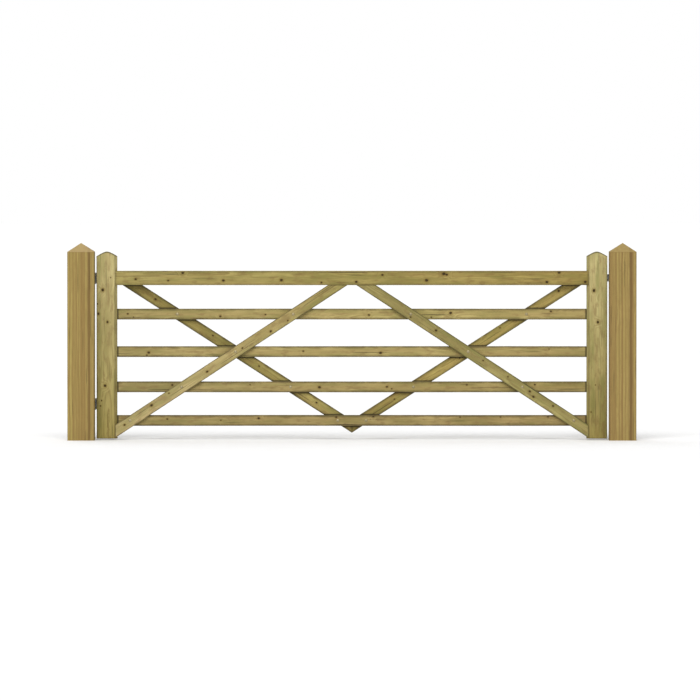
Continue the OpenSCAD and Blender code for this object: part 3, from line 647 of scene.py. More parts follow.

# Tone tints a whole board, foot and head its two ends and cap a post's top, and middle lightens its
# middle. The caps are painted light: the hanging post's cap is lighter and bluer and the shutting
# post's darker, as if lit from the left. Pith is the middle of the growth rings, across and deep from
# the board's middle, ring their width, and heartwood the place of a post's dark stripe. Knots are x and
# z on the gate's face and a radius. Lengths are in metres.
TIMBERS = {
    "hanging_post": dict(
        tone=(1.00, 1.01, 0.90), cap=(1.17, 1.14, 1.38),
        seed=1.3, pith=(-0.30, 0.50), ring=0.0085, wander=0.012,
        streaks=POST_STREAK_PITCH, heartwood=0.057, knots=()),
    "shutting_post": dict(
        tone=(0.95, 0.93, 0.86), cap=(0.98, 0.98, 0.87),
        seed=7.9, pith=(-0.26, 0.55), ring=0.0080, wander=0.012,
        streaks=POST_STREAK_PITCH, heartwood=0.055, knots=()),
    "hanging_stile": dict(
        tone=(1.00, 1.00, 1.00), foot=STILE_FOOT, head=STILE_HEAD,
        seed=3.1, pith=(0.015, 0.10), ring=0.0052,
        knots=((-1.756, 1.058, 0.0088), (-1.787, 0.890, 0.0070), (-1.723, 0.832, 0.0066),
               (-1.740, 0.383, 0.0080), (-1.765, 0.278, 0.0040), (-1.772, 0.240, 0.0042),
               (-1.793, 0.960, 0.0035), (-1.700, 1.145, 0.0030))),
    "shutting_stile": dict(
        tone=(0.97, 0.98, 0.97), foot=STILE_FOOT, head=STILE_HEAD,
        seed=9.4, pith=(-0.01, 0.09), ring=0.0050,
        knots=((1.706, 1.054, 0.0088), (1.734, 0.831, 0.0076), (1.717, 0.388, 0.0030),
               (1.686, 0.197, 0.0040))),
    "top_rail": dict(
        tone=(0.92, 0.90, 0.80), foot=(1.05, 1.11, 1.17), head=(0.96, 0.92, 0.81),
        seed=5.5, pith=(0.03, 0.08), ring=0.0058,
        knots=((-1.524, 1.134, 0.0062), (-1.295, 1.124, 0.0052), (-1.192, 1.178, 0.0075),
               (-0.906, 1.125, 0.0075), (-0.497, 1.128, 0.0080), (-0.215, 1.110, 0.0055),
               (0.031, 1.115, 0.0070), (0.215, 1.164, 0.0065), (0.526, 1.126, 0.0092),
               (0.648, 1.172, 0.0098), (0.668, 1.166, 0.0070), (1.374, 1.114, 0.0080),
               (1.460, 1.180, 0.0075), (1.645, 1.115, 0.0080))),
    "upper_rail": dict(
        tone=(1.04, 1.03, 1.12), foot=(0.93, 0.93, 0.92), head=(1.01, 1.02, 0.96), middle=0.13,
        seed=2.2, pith=(-0.02, 0.05), ring=0.0048,
        knots=((-1.580, 0.889, 0.0052), (-1.540, 0.866, 0.0035), (-0.928, 0.872, 0.0058),
               (-0.610, 0.884, 0.0045), (0.120, 0.881, 0.0060), (0.696, 0.895, 0.0085),
               (0.560, 0.866, 0.0040), (1.403, 0.906, 0.0055))),
    "middle_rail": dict(
        tone=(0.99, 0.98, 1.09), foot=(0.96, 0.97, 0.95), head=(0.97, 0.96, 0.90), middle=0.12,
        seed=6.6, pith=(0.03, 0.06), ring=0.0050,
        knots=((-1.433, 0.616, 0.0075), (-1.446, 0.598, 0.0045), (-0.343, 0.626, 0.0050),
               (0.202, 0.614, 0.0078), (1.390, 0.640, 0.0035))),
    "lower_rail": dict(
        tone=(0.92, 0.89, 0.96), foot=(1.00, 1.02, 1.06), head=(0.94, 0.94, 0.84), middle=0.11,
        seed=4.7, pith=(-0.03, 0.04), ring=0.0052,
        knots=((-1.267, 0.387, 0.0058), (-0.229, 0.371, 0.0078), (-0.718, 0.389, 0.0035),
               (0.247, 0.374, 0.0060), (0.281, 0.360, 0.0040), (0.811, 0.388, 0.0045),
               (1.290, 0.390, 0.0050))),
    "bottom_rail": dict(
        tone=(0.91, 0.87, 0.95), foot=(1.00, 1.03, 1.03), head=(1.00, 0.97, 0.96),
        seed=8.8, pith=(0.02, 0.05), ring=0.0048,
        knots=((-1.302, 0.147, 0.0050), (-0.657, 0.152, 0.0068), (-0.110, 0.160, 0.0060),
               (-0.924, 0.139, 0.0035), (0.151, 0.164, 0.0055), (0.763, 0.160, 0.0040),
               (1.048, 0.161, 0.0038), (1.383, 0.163, 0.0045))),
    "front_brace_hanging": dict(
        tone=(1.04, 1.04, 1.15), foot=(1.25, 1.24, 1.46), head=(0.88, 0.91, 0.76),
        seed=11.2, pith=(0.02, 0.05), ring=0.0050,
        knots=((-1.413, 0.244, 0.0080), (-1.603, 0.106, 0.0060), (-1.020, 0.482, 0.0068),
               (-0.772, 0.648, 0.0050), (-0.572, 0.766, 0.0068), (-0.452, 0.842, 0.0045),
               (-1.290, 0.330, 0.0040))),
    "front_brace_shutting": dict(
        tone=(0.81, 0.84, 0.83), foot=(1.07, 1.09, 1.10), head=(0.96, 0.96, 0.94),
        seed=12.6, pith=(-0.02, 0.05), ring=0.0052,
        # The first knot, at x 0.414 and z 0.866, lies just under a brace bolt's head: painted shadow of
        # the head, drawn as a knot
        knots=((0.414, 0.866, 0.0045), (0.593, 0.772, 0.0068), (0.925, 0.560, 0.0042),
               (1.254, 0.343, 0.0062), (1.280, 0.305, 0.0068), (1.418, 0.240, 0.0052),
               (1.100, 0.446, 0.0038))),
    "rear_brace_hanging": dict(
        tone=(0.75, 0.76, 0.67), foot=(1.27, 1.27, 1.30), head=(0.84, 0.82, 0.70), middle=0.03,
        seed=14.1, pith=(0.02, 0.05), ring=0.0050,
        knots=((-1.385, 0.992, 0.0070), (-0.980, 0.736, 0.0045), (-0.655, 0.520, 0.0045),
               (-0.250, 0.262, 0.0050))),
    "rear_brace_shutting": dict(
        tone=(0.92, 0.89, 0.76), foot=(0.88, 0.88, 0.84), head=(1.04, 1.04, 1.02), middle=0.12,
        seed=15.7, pith=(0.02, 0.05), ring=0.0050,
        knots=((1.458, 1.050, 0.0070), (0.760, 0.578, 0.0045), (1.045, 0.790, 0.0040),
               (0.300, 0.286, 0.0045))),
}

EVEN = (1.0, 1.0, 1.0)
FAR_AWAY = 9.0            # metres, for a mark that a board doesn't have
HEARTWOOD_WIDTH = 0.016   # of the dark stripe in a post
TIMBER_GLOSS = 0.25

# Each colour of the finish with the setting that it comes from, on posts and on boards
POST_COLORS = {
    "Pale": "post_pale", "Late": "post_late", "Drift": "post_drift", "Streak Tone": "post_streak",
    "Patch Tone": "post_streak", "Halo Tone": "halo_tone", "Heart Tone": "heart_tone",
    "Heartwood": "post_heartwood",
}
BOARD_COLORS = {
    "Pale": "pale", "Late": "late", "Drift": "drift", "Streak Tone": "streak", "Patch Tone": "patch",
    "Halo Tone": "halo_tone", "Heart Tone": "heart_tone", "Heartwood": "streak", "Rim Tone": "rim_tone",
    "End Tone": "end_tone",
}
POST_AMOUNTS = {
    "Drift Amount": 0.35, "Streak Amount": 0.85, "Patch Amount": 0.25, "Rim Width": 0.009,
    "Rim Amount": 0.4, "End Amount": 0.6,
}
BOARD_AMOUNTS = {
    "Drift Amount": 0.9, "Streak Amount": 0.65, "Patch Amount": 0.65, "Rim Width": 0.020,
    "Rim Amount": 0.85, "End Amount": 0.7,
}
FAMILY_AMOUNTS = {"stile": {"Rim Width": 0.010, "Rim Amount": 0.6}, "top_rail": {"Rim Amount": 0.45}}
POST_RIM_SHADE = 0.75     # painted shade beside a post's arrises, as a share of its streaks' tone


def crossing_edges():
    """Heights of the rails' edges that cross in front of the rear braces."""
    edges = [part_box("top_rail")[0].z]
    for rail in LOWER_RAILS:
        low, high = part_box(rail)
        edges += [low.z, high.z]
    return edges


def stile_face():
    """Distance of the stiles' inner faces from the gate's middle."""
    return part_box("shutting_stile")[0].x


def toned(color, tone, factor=1.0):
    """A colour times a tone times a factor, opaque."""
    return (*[c * t * factor for c, t in zip(color, tone)], 1.0)


def family_tones(settings, family, row):
    """The Treated Timber group's colours and amounts for posts, stiles, rails or braces. A post's cap
    has its own tone, which paints the light that falls on it."""
    tone = row["tone"]
    colors = POST_COLORS if family == "post" else BOARD_COLORS
    tones = {key: toned(getattr(settings, setting), tone) for key, setting in colors.items()}
    if family == "post":
        tones["Rim Tone"] = toned(settings.post_streak, tone, POST_RIM_SHADE)
        # The cap tone paints light on a post's top: lighter on the hanging post, darker on the shutting
        # post
        tones["End Tone"] = toned(toned(settings.post_end, tone), row["cap"])
        return {**tones, **POST_AMOUNTS}
    return {**tones, **BOARD_AMOUNTS, **FAMILY_AMOUNTS.get(family, {})}


def attribute(net, name, output="Fac"):
    """One of the attributes that add_mesh has filled."""
    return net.node("ShaderNodeAttribute", {}, attribute_name=name).outputs[output]


def joint_dirt(net, board, width):
    """Mask of the painted shade on the front of a rear brace, beside each rail that crosses it."""
    place_in_gate = net.node("ShaderNodeTexCoord", {}).outputs["Object"]
    _, depth, height = net.node("ShaderNodeSeparateXYZ", {0: place_in_gate}).outputs
    joint = 0.0
    for level in crossing_edges():
        joint = net.place(shared_group("Joint Dirt"), {
            "Height": height, "Edge": level, "Width": width, "Joint": joint,
        })["Joint"]
    return net.times(joint, net.math("LESS_THAN", depth, float(board.middle[1])))


def timber_material(name, board, settings, family):
    """Treated timber for one board: its figure, its own knots and the family's tones."""
    row = TIMBERS[name]
    material, net, shader = new_material(name + "_timber")
    place = attribute(net, "board", "Vector")
    chain = {"Heart": 0.0, "Halo": 0.0, "Push": 0.0}
    for x, z, radius in row["knots"]:
        along, across, _ = board.mark(x, z)
        made = net.place(shared_group("Timber Knot"), {
            "Board": place, "Middle": (along, across, 0.0), "Radius": radius, **chain,
        })
        chain = {key: made[key] for key in chain}
    figure = net.place(shared_group("Timber Figure"), {
        "Board": place, "Seed": row["seed"], "Pith": (0.0, *row["pith"]), "Ring Width": row["ring"],
        "Wander": row.get("wander", settings.wander), "Push": chain["Push"],
        "Streak Pitch": row.get("streaks", STREAK_PITCH),
    })
    shade_width = settings.joint_dirt
    result = net.place(shared_group("Treated Timber"), {
        **{output.name: output for output in figure},
        **family_tones(settings, family, row),
        "Board": place, "Heart": chain["Heart"], "Halo": chain["Halo"],
        "Rim": attribute(net, "rim"), "End": attribute(net, "end"), "Tip": attribute(net, "tip"),
        "Joint": joint_dirt(net, board, shade_width) if family == "rear_brace" else 0.0,
        "Corner": stile_face() if family == "rail" else FAR_AWAY,
        "Corner Width": shade_width, "Tip Width": shade_width, "Corner Tone": toned(settings.corner_tone, EVEN),
        "Foot Tint": toned(row.get("foot", EVEN), EVEN), "Head Tint": toned(row.get("head", EVEN), EVEN),
        "Middle Lift": row.get("middle", 0.0), "Reach": float(board.half[0]),
        "Heartwood Place": row.get("heartwood", FAR_AWAY), "Heartwood Width": HEARTWOOD_WIDTH,
    })
    wire_surface(net, shader, result, settings.grain_depth)
    shader.inputs["Specular IOR Level"].default_value = TIMBER_GLOSS
    return material


PEG_STRETCH = (1.0, 0.1, 1.0)  # a peg's grain runs along y
PEG_RING_NOISE = (620.0, 3.0, 0.6)
PORE_NOISE = (2400.0, 2.0, 0.6)
PEG_RING_FADE = (0.35, 0.65)
PORE_FADE = (0.6, 0.75)
PEG_ROUGHNESS = (0.2, 0.8, 0.7, 0.85)
PEG_PALE = (1.0, 0.85, 0.8)
PEG_DARK = (0.8, 0.75, 0.8)
PORE_TONE = (2.0, 2.0, 2.0)


def peg_material(settings):
    """Turned hardwood seen on its end: blotches drawn out along the peg's axis and dark pores."""
    material, net, shader = new_material("peg_end_grain")
    place = net.node("ShaderNodeTexCoord", {}).outputs["Object"]
    place = net.vector("MULTIPLY", place, PEG_STRETCH)
    rings = net.noise(place, *PEG_RING_NOISE)
    pores = net.noise(place, *PORE_NOISE)
    pale = toned(settings.end_tone, PEG_PALE)
    color = net.mix(net.step(rings, *PEG_RING_FADE), pale, toned(settings.late, PEG_DARK))
    color = net.mix(net.step(pores, *PORE_FADE), color, toned(settings.heart_tone, PORE_TONE))
    result = {"Color": color, "Roughness": net.step(rings, *PEG_ROUGHNESS), "Height": rings}
    wire_surface(net, shader, result, settings.grain_depth / 2)
    return material


# Each family of ironwork: its material, the setting of its crystals, how weathered it is, the depth of
# its relief in metres and how metallic it is
ZINCS = {
    "hinge": ("weathered_hinge_zinc", "crystal", 0.9, 0.0004, 0.55),
    "latch": ("weathered_latch_zinc", "crystal", 0.6, 0.0003, 0.55),
    "fixing": ("yellowed_fixing_zinc", "fixing_crystal", 0.7, 0.0002, 0.6),
    "screw": ("grey_screw_zinc", "fixing_crystal", 0.8, 0.0002, 0.6),
}


def zinc_material(steel, family):
    """Zinc-coated steel for one family of ironwork."""
    name, crystal, weathering, depth, metallic = ZINCS[family]
    material, net, shader = new_material(name)
    result = net.place(shared_group("Zinc Skin"), {
        "Place": net.node("ShaderNodeTexCoord", {}).outputs["Object"],
        "Crystal Size": getattr(steel, crystal), "Weathering": weathering,
        "Bright": toned(getattr(steel, family + "_bright"), EVEN),
        "Dull": toned(getattr(steel, family + "_dull"), EVEN),
    })
    wire_surface(net, shader, result, depth)
    shader.inputs["Metallic"].default_value = metallic
    return material


def finish_nodes(nodes, material):
    """Puts a material on CAD nodes whose shape is right as it is."""
    for node in nodes:
        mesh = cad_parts[node].data
        mesh.materials.clear()
        mesh.materials.append(material)


# ---------------------------------------------------------------------------
# Sizes and colours that a user would change
# ---------------------------------------------------------------------------

def size(name, description, default):
    """A setting for a length in metres."""
    return FloatProperty(
        name=name, description=description, default=default, min=0.0, unit="LENGTH", precision=4)


def tint(name, description, default):
    """A setting for a colour."""
    return FloatVectorProperty(
        name=name, description=description, default=default, min=0.0, max=1.0, subtype="COLOR")


def strength(name, description, default):
    """A setting for the strength of a light."""
    return FloatProperty(name=name, description=description, default=default, min=0.0)


class FieldGateTimber(bpy.types.PropertyGroup):
    """Sizes and colours of the timber."""

    arris: size("Arris", "Radius that the boards' edges are eased to", 0.0022)
    post_arris: size("Post arris", "Radius that the posts' upright edges are eased to", 0.0055)
    pitch: size("Lattice pitch", "Distance between lattice lines along a board", 0.016)
    swing: size("Movement", "How far the boards have moved in drying", 0.0003)
    wander: size("Pith wander", "How far the growth rings wander along a board", 0.045)
    grain_depth: size("Grain depth", "Relief of the grain", 0.0005)
    chamfer: size("Stile chamfer", "Width of the long chamfer on a stile's inner front edge", 0.015)
    crown: size("Stile crown", "Rise of the crown on a stile", 0.032)
    crown_ease: size("Crown ease", "Rounding at the peak of a stile's crown", 0.025)
    cap: size("Post cap", "Height of the four-sided top of a post", 0.062)
    brace_width: size("Brace width", "Width of a brace's face", 0.076)
    tenon_height: size("Top tenon height", "Height of the top rail's tenons", 0.084)
    tenon_thickness: size("Top tenon thickness", "Thickness of the top rail's tenons", 0.024)
    peg_proud: size("Peg stand", "How far the pegs stand out of the stiles' backs", 0.0008)
    pale: tint("Early wood", "Pale wood of rails, braces and stiles", (0.388, 0.314, 0.114))
    late: tint("Late wood", "Dark part of each growth ring", (0.198, 0.140, 0.042))
    drift: tint("Olive drift", "Green cast of the preservative", (0.228, 0.194, 0.057))
    streak: tint("Tan streak", "Warm streaks along the boards", (0.325, 0.240, 0.086))
    patch: tint("Warm patch", "Brown patches of the boards", (0.214, 0.146, 0.050))
    halo_tone: tint("Knot halo", "Warm wood round a knot", (0.172, 0.106, 0.018))
    heart_tone: tint("Knot heart", "Dark middle of a knot", (0.022, 0.012, 0.0005))
    # Painted shade: the dark line beside the arrises and the band along a stile's top
    rim_tone: tint("Arris shade", "Dull line beside the arrises", (0.070, 0.055, 0.017))
    end_tone: tint("End grain", "Sawn ends", (0.190, 0.155, 0.060))
    post_pale: tint("Post early wood", "Pale wood of the posts", (0.345, 0.258, 0.090))
    post_late: tint("Post late wood", "Dark part of the posts' growth rings", (0.215, 0.135, 0.045))
    post_drift: tint("Post olive drift", "Olive stripes of the posts", (0.262, 0.196, 0.058))
    post_streak: tint("Post streak", "Orange-brown stripes of the posts", (0.232, 0.146, 0.050))
    post_heartwood: tint("Post heartwood", "Dark stripe of heartwood in the posts", (0.150, 0.088, 0.030))
    # Painted shade: this tone darkens where rails enter the stiles and cross the rear braces, and also
    # colours drying checks
    corner_tone: tint("Corner shade and checks", "Painted shade where boards cross or enter each other, and drying checks", (0.036, 0.027, 0.009))
    joint_dirt: size("Joint dirt", "Width of the painted shade bands", 0.012)
    post_end: tint("Post end grain", "Weathered tops of the posts", (0.345, 0.255, 0.110))


class FieldGateSteel(bpy.types.PropertyGroup):
    """Colours and crystal sizes of the zinc-coated steel."""

    hinge_bright: tint("Hinge steel", "Fresh zinc of the hinges", (0.57, 0.58, 0.59))
    hinge_dull: tint("Weathered hinge steel", "Dull zinc of the hinges", (0.39, 0.40, 0.405))
    latch_bright: tint("Latch steel", "Fresh zinc of the latch", (0.54, 0.55, 0.55))
    latch_dull: tint("Weathered latch steel", "Dull zinc of the latch", (0.36, 0.37, 0.375))
    screw_bright: tint("Ironwork screws", "Fresh zinc of the screws in the ironwork", (0.46, 0.465, 0.45))
    screw_dull: tint("Weathered ironwork screws", "Dull zinc of those screws", (0.31, 0.31, 0.29))
    fixing_bright: tint("Brace fixings", "Yellowed zinc of the braces' fixings", (0.385, 0.322, 0.180))
    fixing_dull: tint("Weathered brace fixings", "Dull zinc of those fixings", (0.275, 0.228, 0.120))
    crystal: size("Crystal size", "Size of the zinc's crystals on plates", 0.012)
    fixing_crystal: size("Fixing crystal size", "Size of the zinc's crystals on fixings", 0.004)


class FieldGateStage(bpy.types.PropertyGroup):
    """Floor, lamps and camera."""

    floor_tone: tint("Floor", "Colour of the floor", (0.86, 0.86, 0.86))
    floor_reach: size("Floor reach", "Distance from the middle to the floor's edge", 150.0)
    camera_distance: size("Camera distance", "Distance of the camera from the gate", 55.0)
    view_width: size("View width", "Width of the picture at the gate", 4.935)
    camera_lift: FloatProperty(
        name="Camera lift", description="Angle of the camera above the level", default=math.radians(1.5),
        subtype="ANGLE")
    sky: strength("Sky", "Strength of the pale surroundings", 0.46)
    key: strength("Key lamp", "Strength of the soft lamp above the front", 2.55)
    fill: strength("Fill lamp", "Strength of the soft lamp behind", 0.9)


# ---------------------------------------------------------------------------
# Operators: one for each piece or group of like pieces, and one for the stage
# ---------------------------------------------------------------------------

def board_pitch(settings):
    """Distances between a board's lattice lines along, across and deep."""
    return settings.pitch, settings.pitch / 2, settings.pitch / 2


def add_board(name, board, shape, body, slot, family, settings, tip=None):
    """Makes one timber from local points, faces, rim and end, and gives it all it needs."""
    points, faces, rim, end = shape
    tip = np.full(len(points), board.half[0]) if tip is None else tip
    piece = add_mesh(name + "_timber", board.place(points), faces, board=points, rim=rim, end=end, tip=tip)
    material = timber_material(name, board, settings, family)
    return finish_piece(piece, material, body, slot, name)


class FIELDGATE_OT_posts(bpy.types.Operator):
    """Makes the two square posts. A post is an eased square carried up a path: out from the axis along
    its foot, up its side, and back to the axis up its four-sided top"""

    bl_idname = "fieldgate.posts"
    bl_label = "Posts"

    def execute(self, context):
        settings = context.scene.field_gate_timber
        for side, _ in SIDES:
            name = side + "_post"
            low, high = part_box(name)
            board = Board(low, high, UP, RIGHT)
            half = board.half[1]
            foot, top = -board.half[0], board.half[0]
            shoulder = top - settings.cap
            loop, flat = square_loop(half, settings.post_arris, settings.pitch)
            path = eased_path(
                [(0, foot), (1.0, foot), (1.0, shoulder), (0, top)], settings.arris, settings.pitch)
            points, faces = carried_round(loop, path)
            grow = np.repeat(path[1:-1, 0], len(loop))
            nearest = half - np.abs(flat).min(axis=1)
            upright = np.tile(nearest, len(path) - 2) * grow
            level = np.abs(points[:-2, 0] - shoulder)
            rim = np.append(np.minimum(upright, level), [half, half])
            end = (points[:, 0] > shoulder - settings.arris) | (points[:, 0] < foot + settings.arris)
            add_board(name, board, (points, faces, rim, end), "root", "post_timber", "post", settings)
        return {"FINISHED"}


class FIELDGATE_OT_stiles(bpy.types.Operator):
    """Makes the two stiles: eased boards whose tops drop to each side in a blunt gable, and whose inner
    front edges are cut back by a long chamfer that ends where the rails begin"""

    bl_idname = "fieldgate.stiles"
    bl_label = "Stiles"

    def execute(self, context):
        settings = context.scene.field_gate_timber
        rail_low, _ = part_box("upper_rail")
        for side, sign in SIDES:
            name = side + "_stile"
            low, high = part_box(name)
            board = Board(low, high, UP, (-sign, 0.0, 0.0))
            facing = board.axes[2][1]
            crease = (rail_low.y - board.middle[1]) * facing
            points, faces, rim, end = eased_box(
                board.half, settings.arris, board_pitch(settings), ((), (), (crease,)))
            tip = board.half[0] - points[:, 0]
            depth = rail_low.y - low.y
            ramp = np.clip((rail_low.y - (board.middle[1] + points[:, 2] * facing)) / depth, 0, 1)
            inner = points[:, 1] > 0
            points[:, 1] *= 1 - inner * ramp * settings.chamfer / board.half[1]
            drop = gable_drop(points[:, 1], board.half[1], settings.crown, settings.crown_ease)
            reach = CROWN_REACH * settings.crown
            rise = np.clip((points[:, 0] - (board.half[0] - reach)) / reach, 0, 1)
            points[:, 0] -= drop * rise
            shape = (points, faces, rim, end)
            add_board(name, board, shape, "leaf", "stile_timber", "stile", settings, tip)
        return {"FINISHED"}


class FIELDGATE_OT_rails(bpy.types.Operator):
    """Makes the four lower rails, eased boards that run into the stiles, and the thick top rail, whose
    ends follow the stiles' chamfers and carry a tenon each"""

    bl_idname = "fieldgate.rails"
    bl_label = "Rails"

    def execute(self, context):
        settings = context.scene.field_gate_timber
        pitch = board_pitch(settings)
        rail_low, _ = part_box("upper_rail")
        for name in LOWER_RAILS:
            low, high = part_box(name)
            board = Board(low, high, RIGHT, UP)
            points, faces, rim, end = eased_box(board.half, settings.arris, pitch)
            points = moved_by_drying(points, TIMBERS[name]["seed"], settings.swing)
            add_board(name, board, (points, faces, rim, end), "leaf", "rail_timber", "rail", settings)

        low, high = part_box("top_rail")
        board = Board(low, high, RIGHT, UP)
        stile_low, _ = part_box("shutting_stile")
        tenon_end = board.half[0]
        half = np.array([stile_low.x, board.half[1], board.half[2]])
        crease = (rail_low.y - board.middle[1]) * board.axes[2][1]
        points, faces, rim, end = eased_box(half, settings.arris, pitch, ((), (), (crease,)))
        ramp = np.clip((rail_low.y - (board.middle[1] - points[:, 2])) / (rail_low.y - low.y), 0, 1)
        points[:, 0] *= 1 + settings.chamfer * ramp / stile_low.x
        parts = [(points, faces, rim, end)]
        for sign in (-1.0, 1.0):
            length = (tenon_end - stile_low.x) / 2
            tenon_half = (length, settings.tenon_height / 2, settings.tenon_thickness / 2)
            stub, skin, rim, end = eased_box(tenon_half, settings.arris, pitch)
            stub[:, 0] += sign * (stile_low.x + length)
            parts.append((stub, skin, rim, end))
        add_board("top_rail", board, joined(parts), "leaf", "rail_timber", "top_rail", settings)
        return {"FINISHED"}


def joined(parts):
    """Several shells as one shape: their arrays end to end, with each shell's faces counted on."""
    counts = np.cumsum([0] + [len(part[0]) for part in parts[:-1]])
    faces = np.concatenate([part[1] + count for part, count in zip(parts, counts)])
    points, rims, ends = (np.concatenate([part[k] for part in parts]) for k in (0, 2, 3))
    return points, faces, rims, ends


def brace_board(name, sign, upright_x, width):
    """The board of a brace between a level cut at its head and an upright cut at its foot. Its slope
    is settled in rounds: the middle line starts half a level cut in from the box's side and half
    an upright cut above the box's bottom, and both depend on the slope."""
    low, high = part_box(name)
    far = max(abs(low.x), abs(high.x))
    near = min(abs(low.x), abs(high.x))
    head_edge = near if upright_x > near + width else far
    inward = 1.0 if head_edge == near else -1.0
    slope = FIRST_SLOPE
    for _ in range(SLOPE_ROUNDS):
        angle = math.atan(slope)
        head_x = head_edge + inward * width / 2 / math.sin(angle)
        foot_z = low.z + width / 2 / math.cos(angle)
        slope = abs((high.z - foot_z) / (upright_x - head_x))
    foot = np.array([sign * upright_x, (low.y + high.y) / 2, foot_z])
    head = np.array([sign * head_x, (low.y + high.y) / 2, high.z])
    along = (head - foot) / np.linalg.norm(head - foot)
    across = np.array([-along[2], 0.0, along[0]]) * np.sign(along[0])
    board = Board(foot, head, RIGHT, UP)
    board.set_axes(along, across)
    board.half = np.array([np.linalg.norm(head - foot) / 2, width / 2, (high.y - low.y) / 2])
    return board, high.z


def cut_brace(board, points, foot_x, head_z):
    """Shears the ends of an eased board to their cuts: at the foot each point along an edge runs to
    foot_x, at the head to the level head_z, and points between move in proportion."""
    along, across, _ = board.axes
    half = board.half[0]
    foot = (foot_x - board.middle[0] - points[:, 1] * across[0]) / along[0]
    head = (head_z - board.middle[2] - points[:, 1] * across[2]) / along[2]
    share = (points[:, 0] + half) / (2 * half)
    cut = points.copy()
    cut[:, 0] += (1 - share) * (foot + half) + share * (head - half)
    return cut


def add_brace(name, board, head_z, sign, foot_at, family, settings):
    """Makes one brace; foot_at gives the distance of its foot from the gate's middle for each depth."""
    points, faces, rim, end = eased_box(board.half, settings.arris, board_pitch(settings))
    depth = board.middle[1] + points[:, 2] * board.axes[2][1]
    points = cut_brace(board, points, sign * foot_at(depth), head_z)
    points = moved_by_drying(points, TIMBERS[name]["seed"], settings.swing)
    add_board(name, board, (points, faces, rim, end), "leaf", "brace_timber", family, settings)


class FIELDGATE_OT_front_braces(bpy.types.Operator):
    """Makes the two front braces, cut level under the top rail and scribed to the stiles' chamfers"""

    bl_idname = "fieldgate.front_braces"
    bl_label = "Front braces"

    def execute(self, context):
        settings = context.scene.field_gate_timber
        stile_low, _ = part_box("shutting_stile")
        rail_low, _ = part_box("upper_rail")
        depth = rail_low.y - stile_low.y

        def foot_at(y):
            return stile_low.x + settings.chamfer * np.clip((rail_low.y - y) / depth, 0, 1)

        for side, sign in SIDES:
            name = "front_brace_" + side
            board, head_z = brace_board(name, sign, stile_low.x, settings.brace_width)
            add_brace(name, board, head_z, sign, foot_at, "front_brace", settings)
        return {"FINISHED"}


class FIELDGATE_OT_rear_braces(bpy.types.Operator):
    """Makes the two rear braces, cut level under the top rail and mitred to each other at the bottom"""

    bl_idname = "fieldgate.rear_braces"
    bl_label = "Rear braces"

    def execute(self, context):
        settings = context.scene.field_gate_timber
        for side, sign in SIDES:
            name = "rear_brace_" + side
            board, head_z = brace_board(name, sign, 0.0, settings.brace_width)
            add_brace(name, board, head_z, sign, np.zeros_like, "rear_brace", settings)
        return {"FINISHED"}


class FIELDGATE_OT_pegs(bpy.types.Operator):
    """Makes the pegs that lock the tenons: round bars with eased ends, carried along their own axis"""

    bl_idname = "fieldgate.pegs"
    bl_label = "Pegs"

    def execute(self, context):
        settings = context.scene.field_gate_timber
        material = peg_material(settings)
        levels = [(low.z + high.z) / 2 for low, high in map(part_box, LOWER_RAILS)]
        for side, _ in SIDES:
            name = side + "_pegs"
            low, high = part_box(name)
            radius = (high.x - low.x) / 2
            levels_here = [low.z + radius, *[z for z in levels if z > low.z + 2 * radius]]
            top_low, top_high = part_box("top_rail")
            middle = (top_low.z + top_high.z) / 2
            pair = high.z - radius - middle
            levels_here += [middle - pair, middle + pair]
            loop = circle_loop(PEG_POINTS) * radius
            length = high.y + settings.peg_proud - low.y
            corners = [(0, 0), (1, 0), (1, length), (0, length)]
            path = eased_path(corners, settings.arris * PEG_EASE, settings.pitch)
            points, faces = carried_round(loop, path)
            shells, skins = [], []
            for z in levels_here:
                place = np.stack([
                    points[:, 1] + (low.x + high.x) / 2, low.y + points[:, 0], z - points[:, 2]], 1)
                skins += [[corner + len(points) * len(shells) for corner in face] for face in faces]
                shells.append(place)
            piece = add_mesh(name + "_timber", np.concatenate(shells), skins)
            finish_piece(piece, material, "leaf", "peg_timber", name)
        return {"FINISHED"}


class FIELDGATE_OT_hinges(bpy.types.Operator):
    """Gives the hooks and bands their weathered zinc"""

    bl_idname = "fieldgate.hinges"
    bl_label = "Hinges"

    def execute(self, context):
        material = zinc_material(context.scene.field_gate_steel, "hinge")
        finish_nodes(("top_hook", "bottom_hook", "top_band", "bottom_band"), material)
        return {"FINISHED"}


class FIELDGATE_OT_latch(bpy.types.Operator):
    """Gives the latch, its bolt and the keep their zinc"""

    bl_idname = "fieldgate.latch"
    bl_label = "Latch and keep"

    def execute(self, context):
        material = zinc_material(context.scene.field_gate_steel, "latch")
        finish_nodes(("latch_plate", "sliding_bolt", "bolt_knob", "keep"), material)
        return {"FINISHED"}


class FIELDGATE_OT_fixings(bpy.types.Operator):
    """Gives the braces' bolts, nuts, washers and screws yellowed zinc, and the ironwork's screws
    grey zinc"""

    bl_idname = "fieldgate.fixings"
    bl_label = "Fixings"

    def execute(self, context):
        yellowed = zinc_material(context.scene.field_gate_steel, "fixing")
        grey = zinc_material(context.scene.field_gate_steel, "screw")
        finish_nodes(("short_brace_bolts", "long_brace_bolts"), yellowed)
        finish_nodes(("brace_washers", "brace_nuts", "brace_end_screws"), yellowed)
        finish_nodes(("band_screws", "hook_screws", "latch_screws", "keep_screws"), grey)
        return {"FINISHED"}


KEY_LAMP_TURN = (math.radians(45), 0.0, math.radians(-6))
KEY_LAMP_SPREAD = math.radians(38)
FILL_LAMP_TURN = (math.radians(-50), 0.0, math.radians(20))
FILL_LAMP_SPREAD = math.radians(60)
WHITE = (1.0, 1.0, 1.0, 1.0)
MOTTLE_NOISE = (3.0, 4.0, 0.6)
MOTTLE_FADE = (0.3, 0.7)
MOTTLE_SHADE = 0.985
FLOOR_ROUGHNESS = 0.95
FLOOR_GLOSS = 0.1
FILM_WIDTH = 36.0          # millimetres
NEAREST_SEEN = 1.0         # metres from the camera
FARTHEST_SEEN = 4.0        # floor reaches from the camera
AIM_X = -0.0134            # the point that the camera looks at
AIM_Z = 0.6345


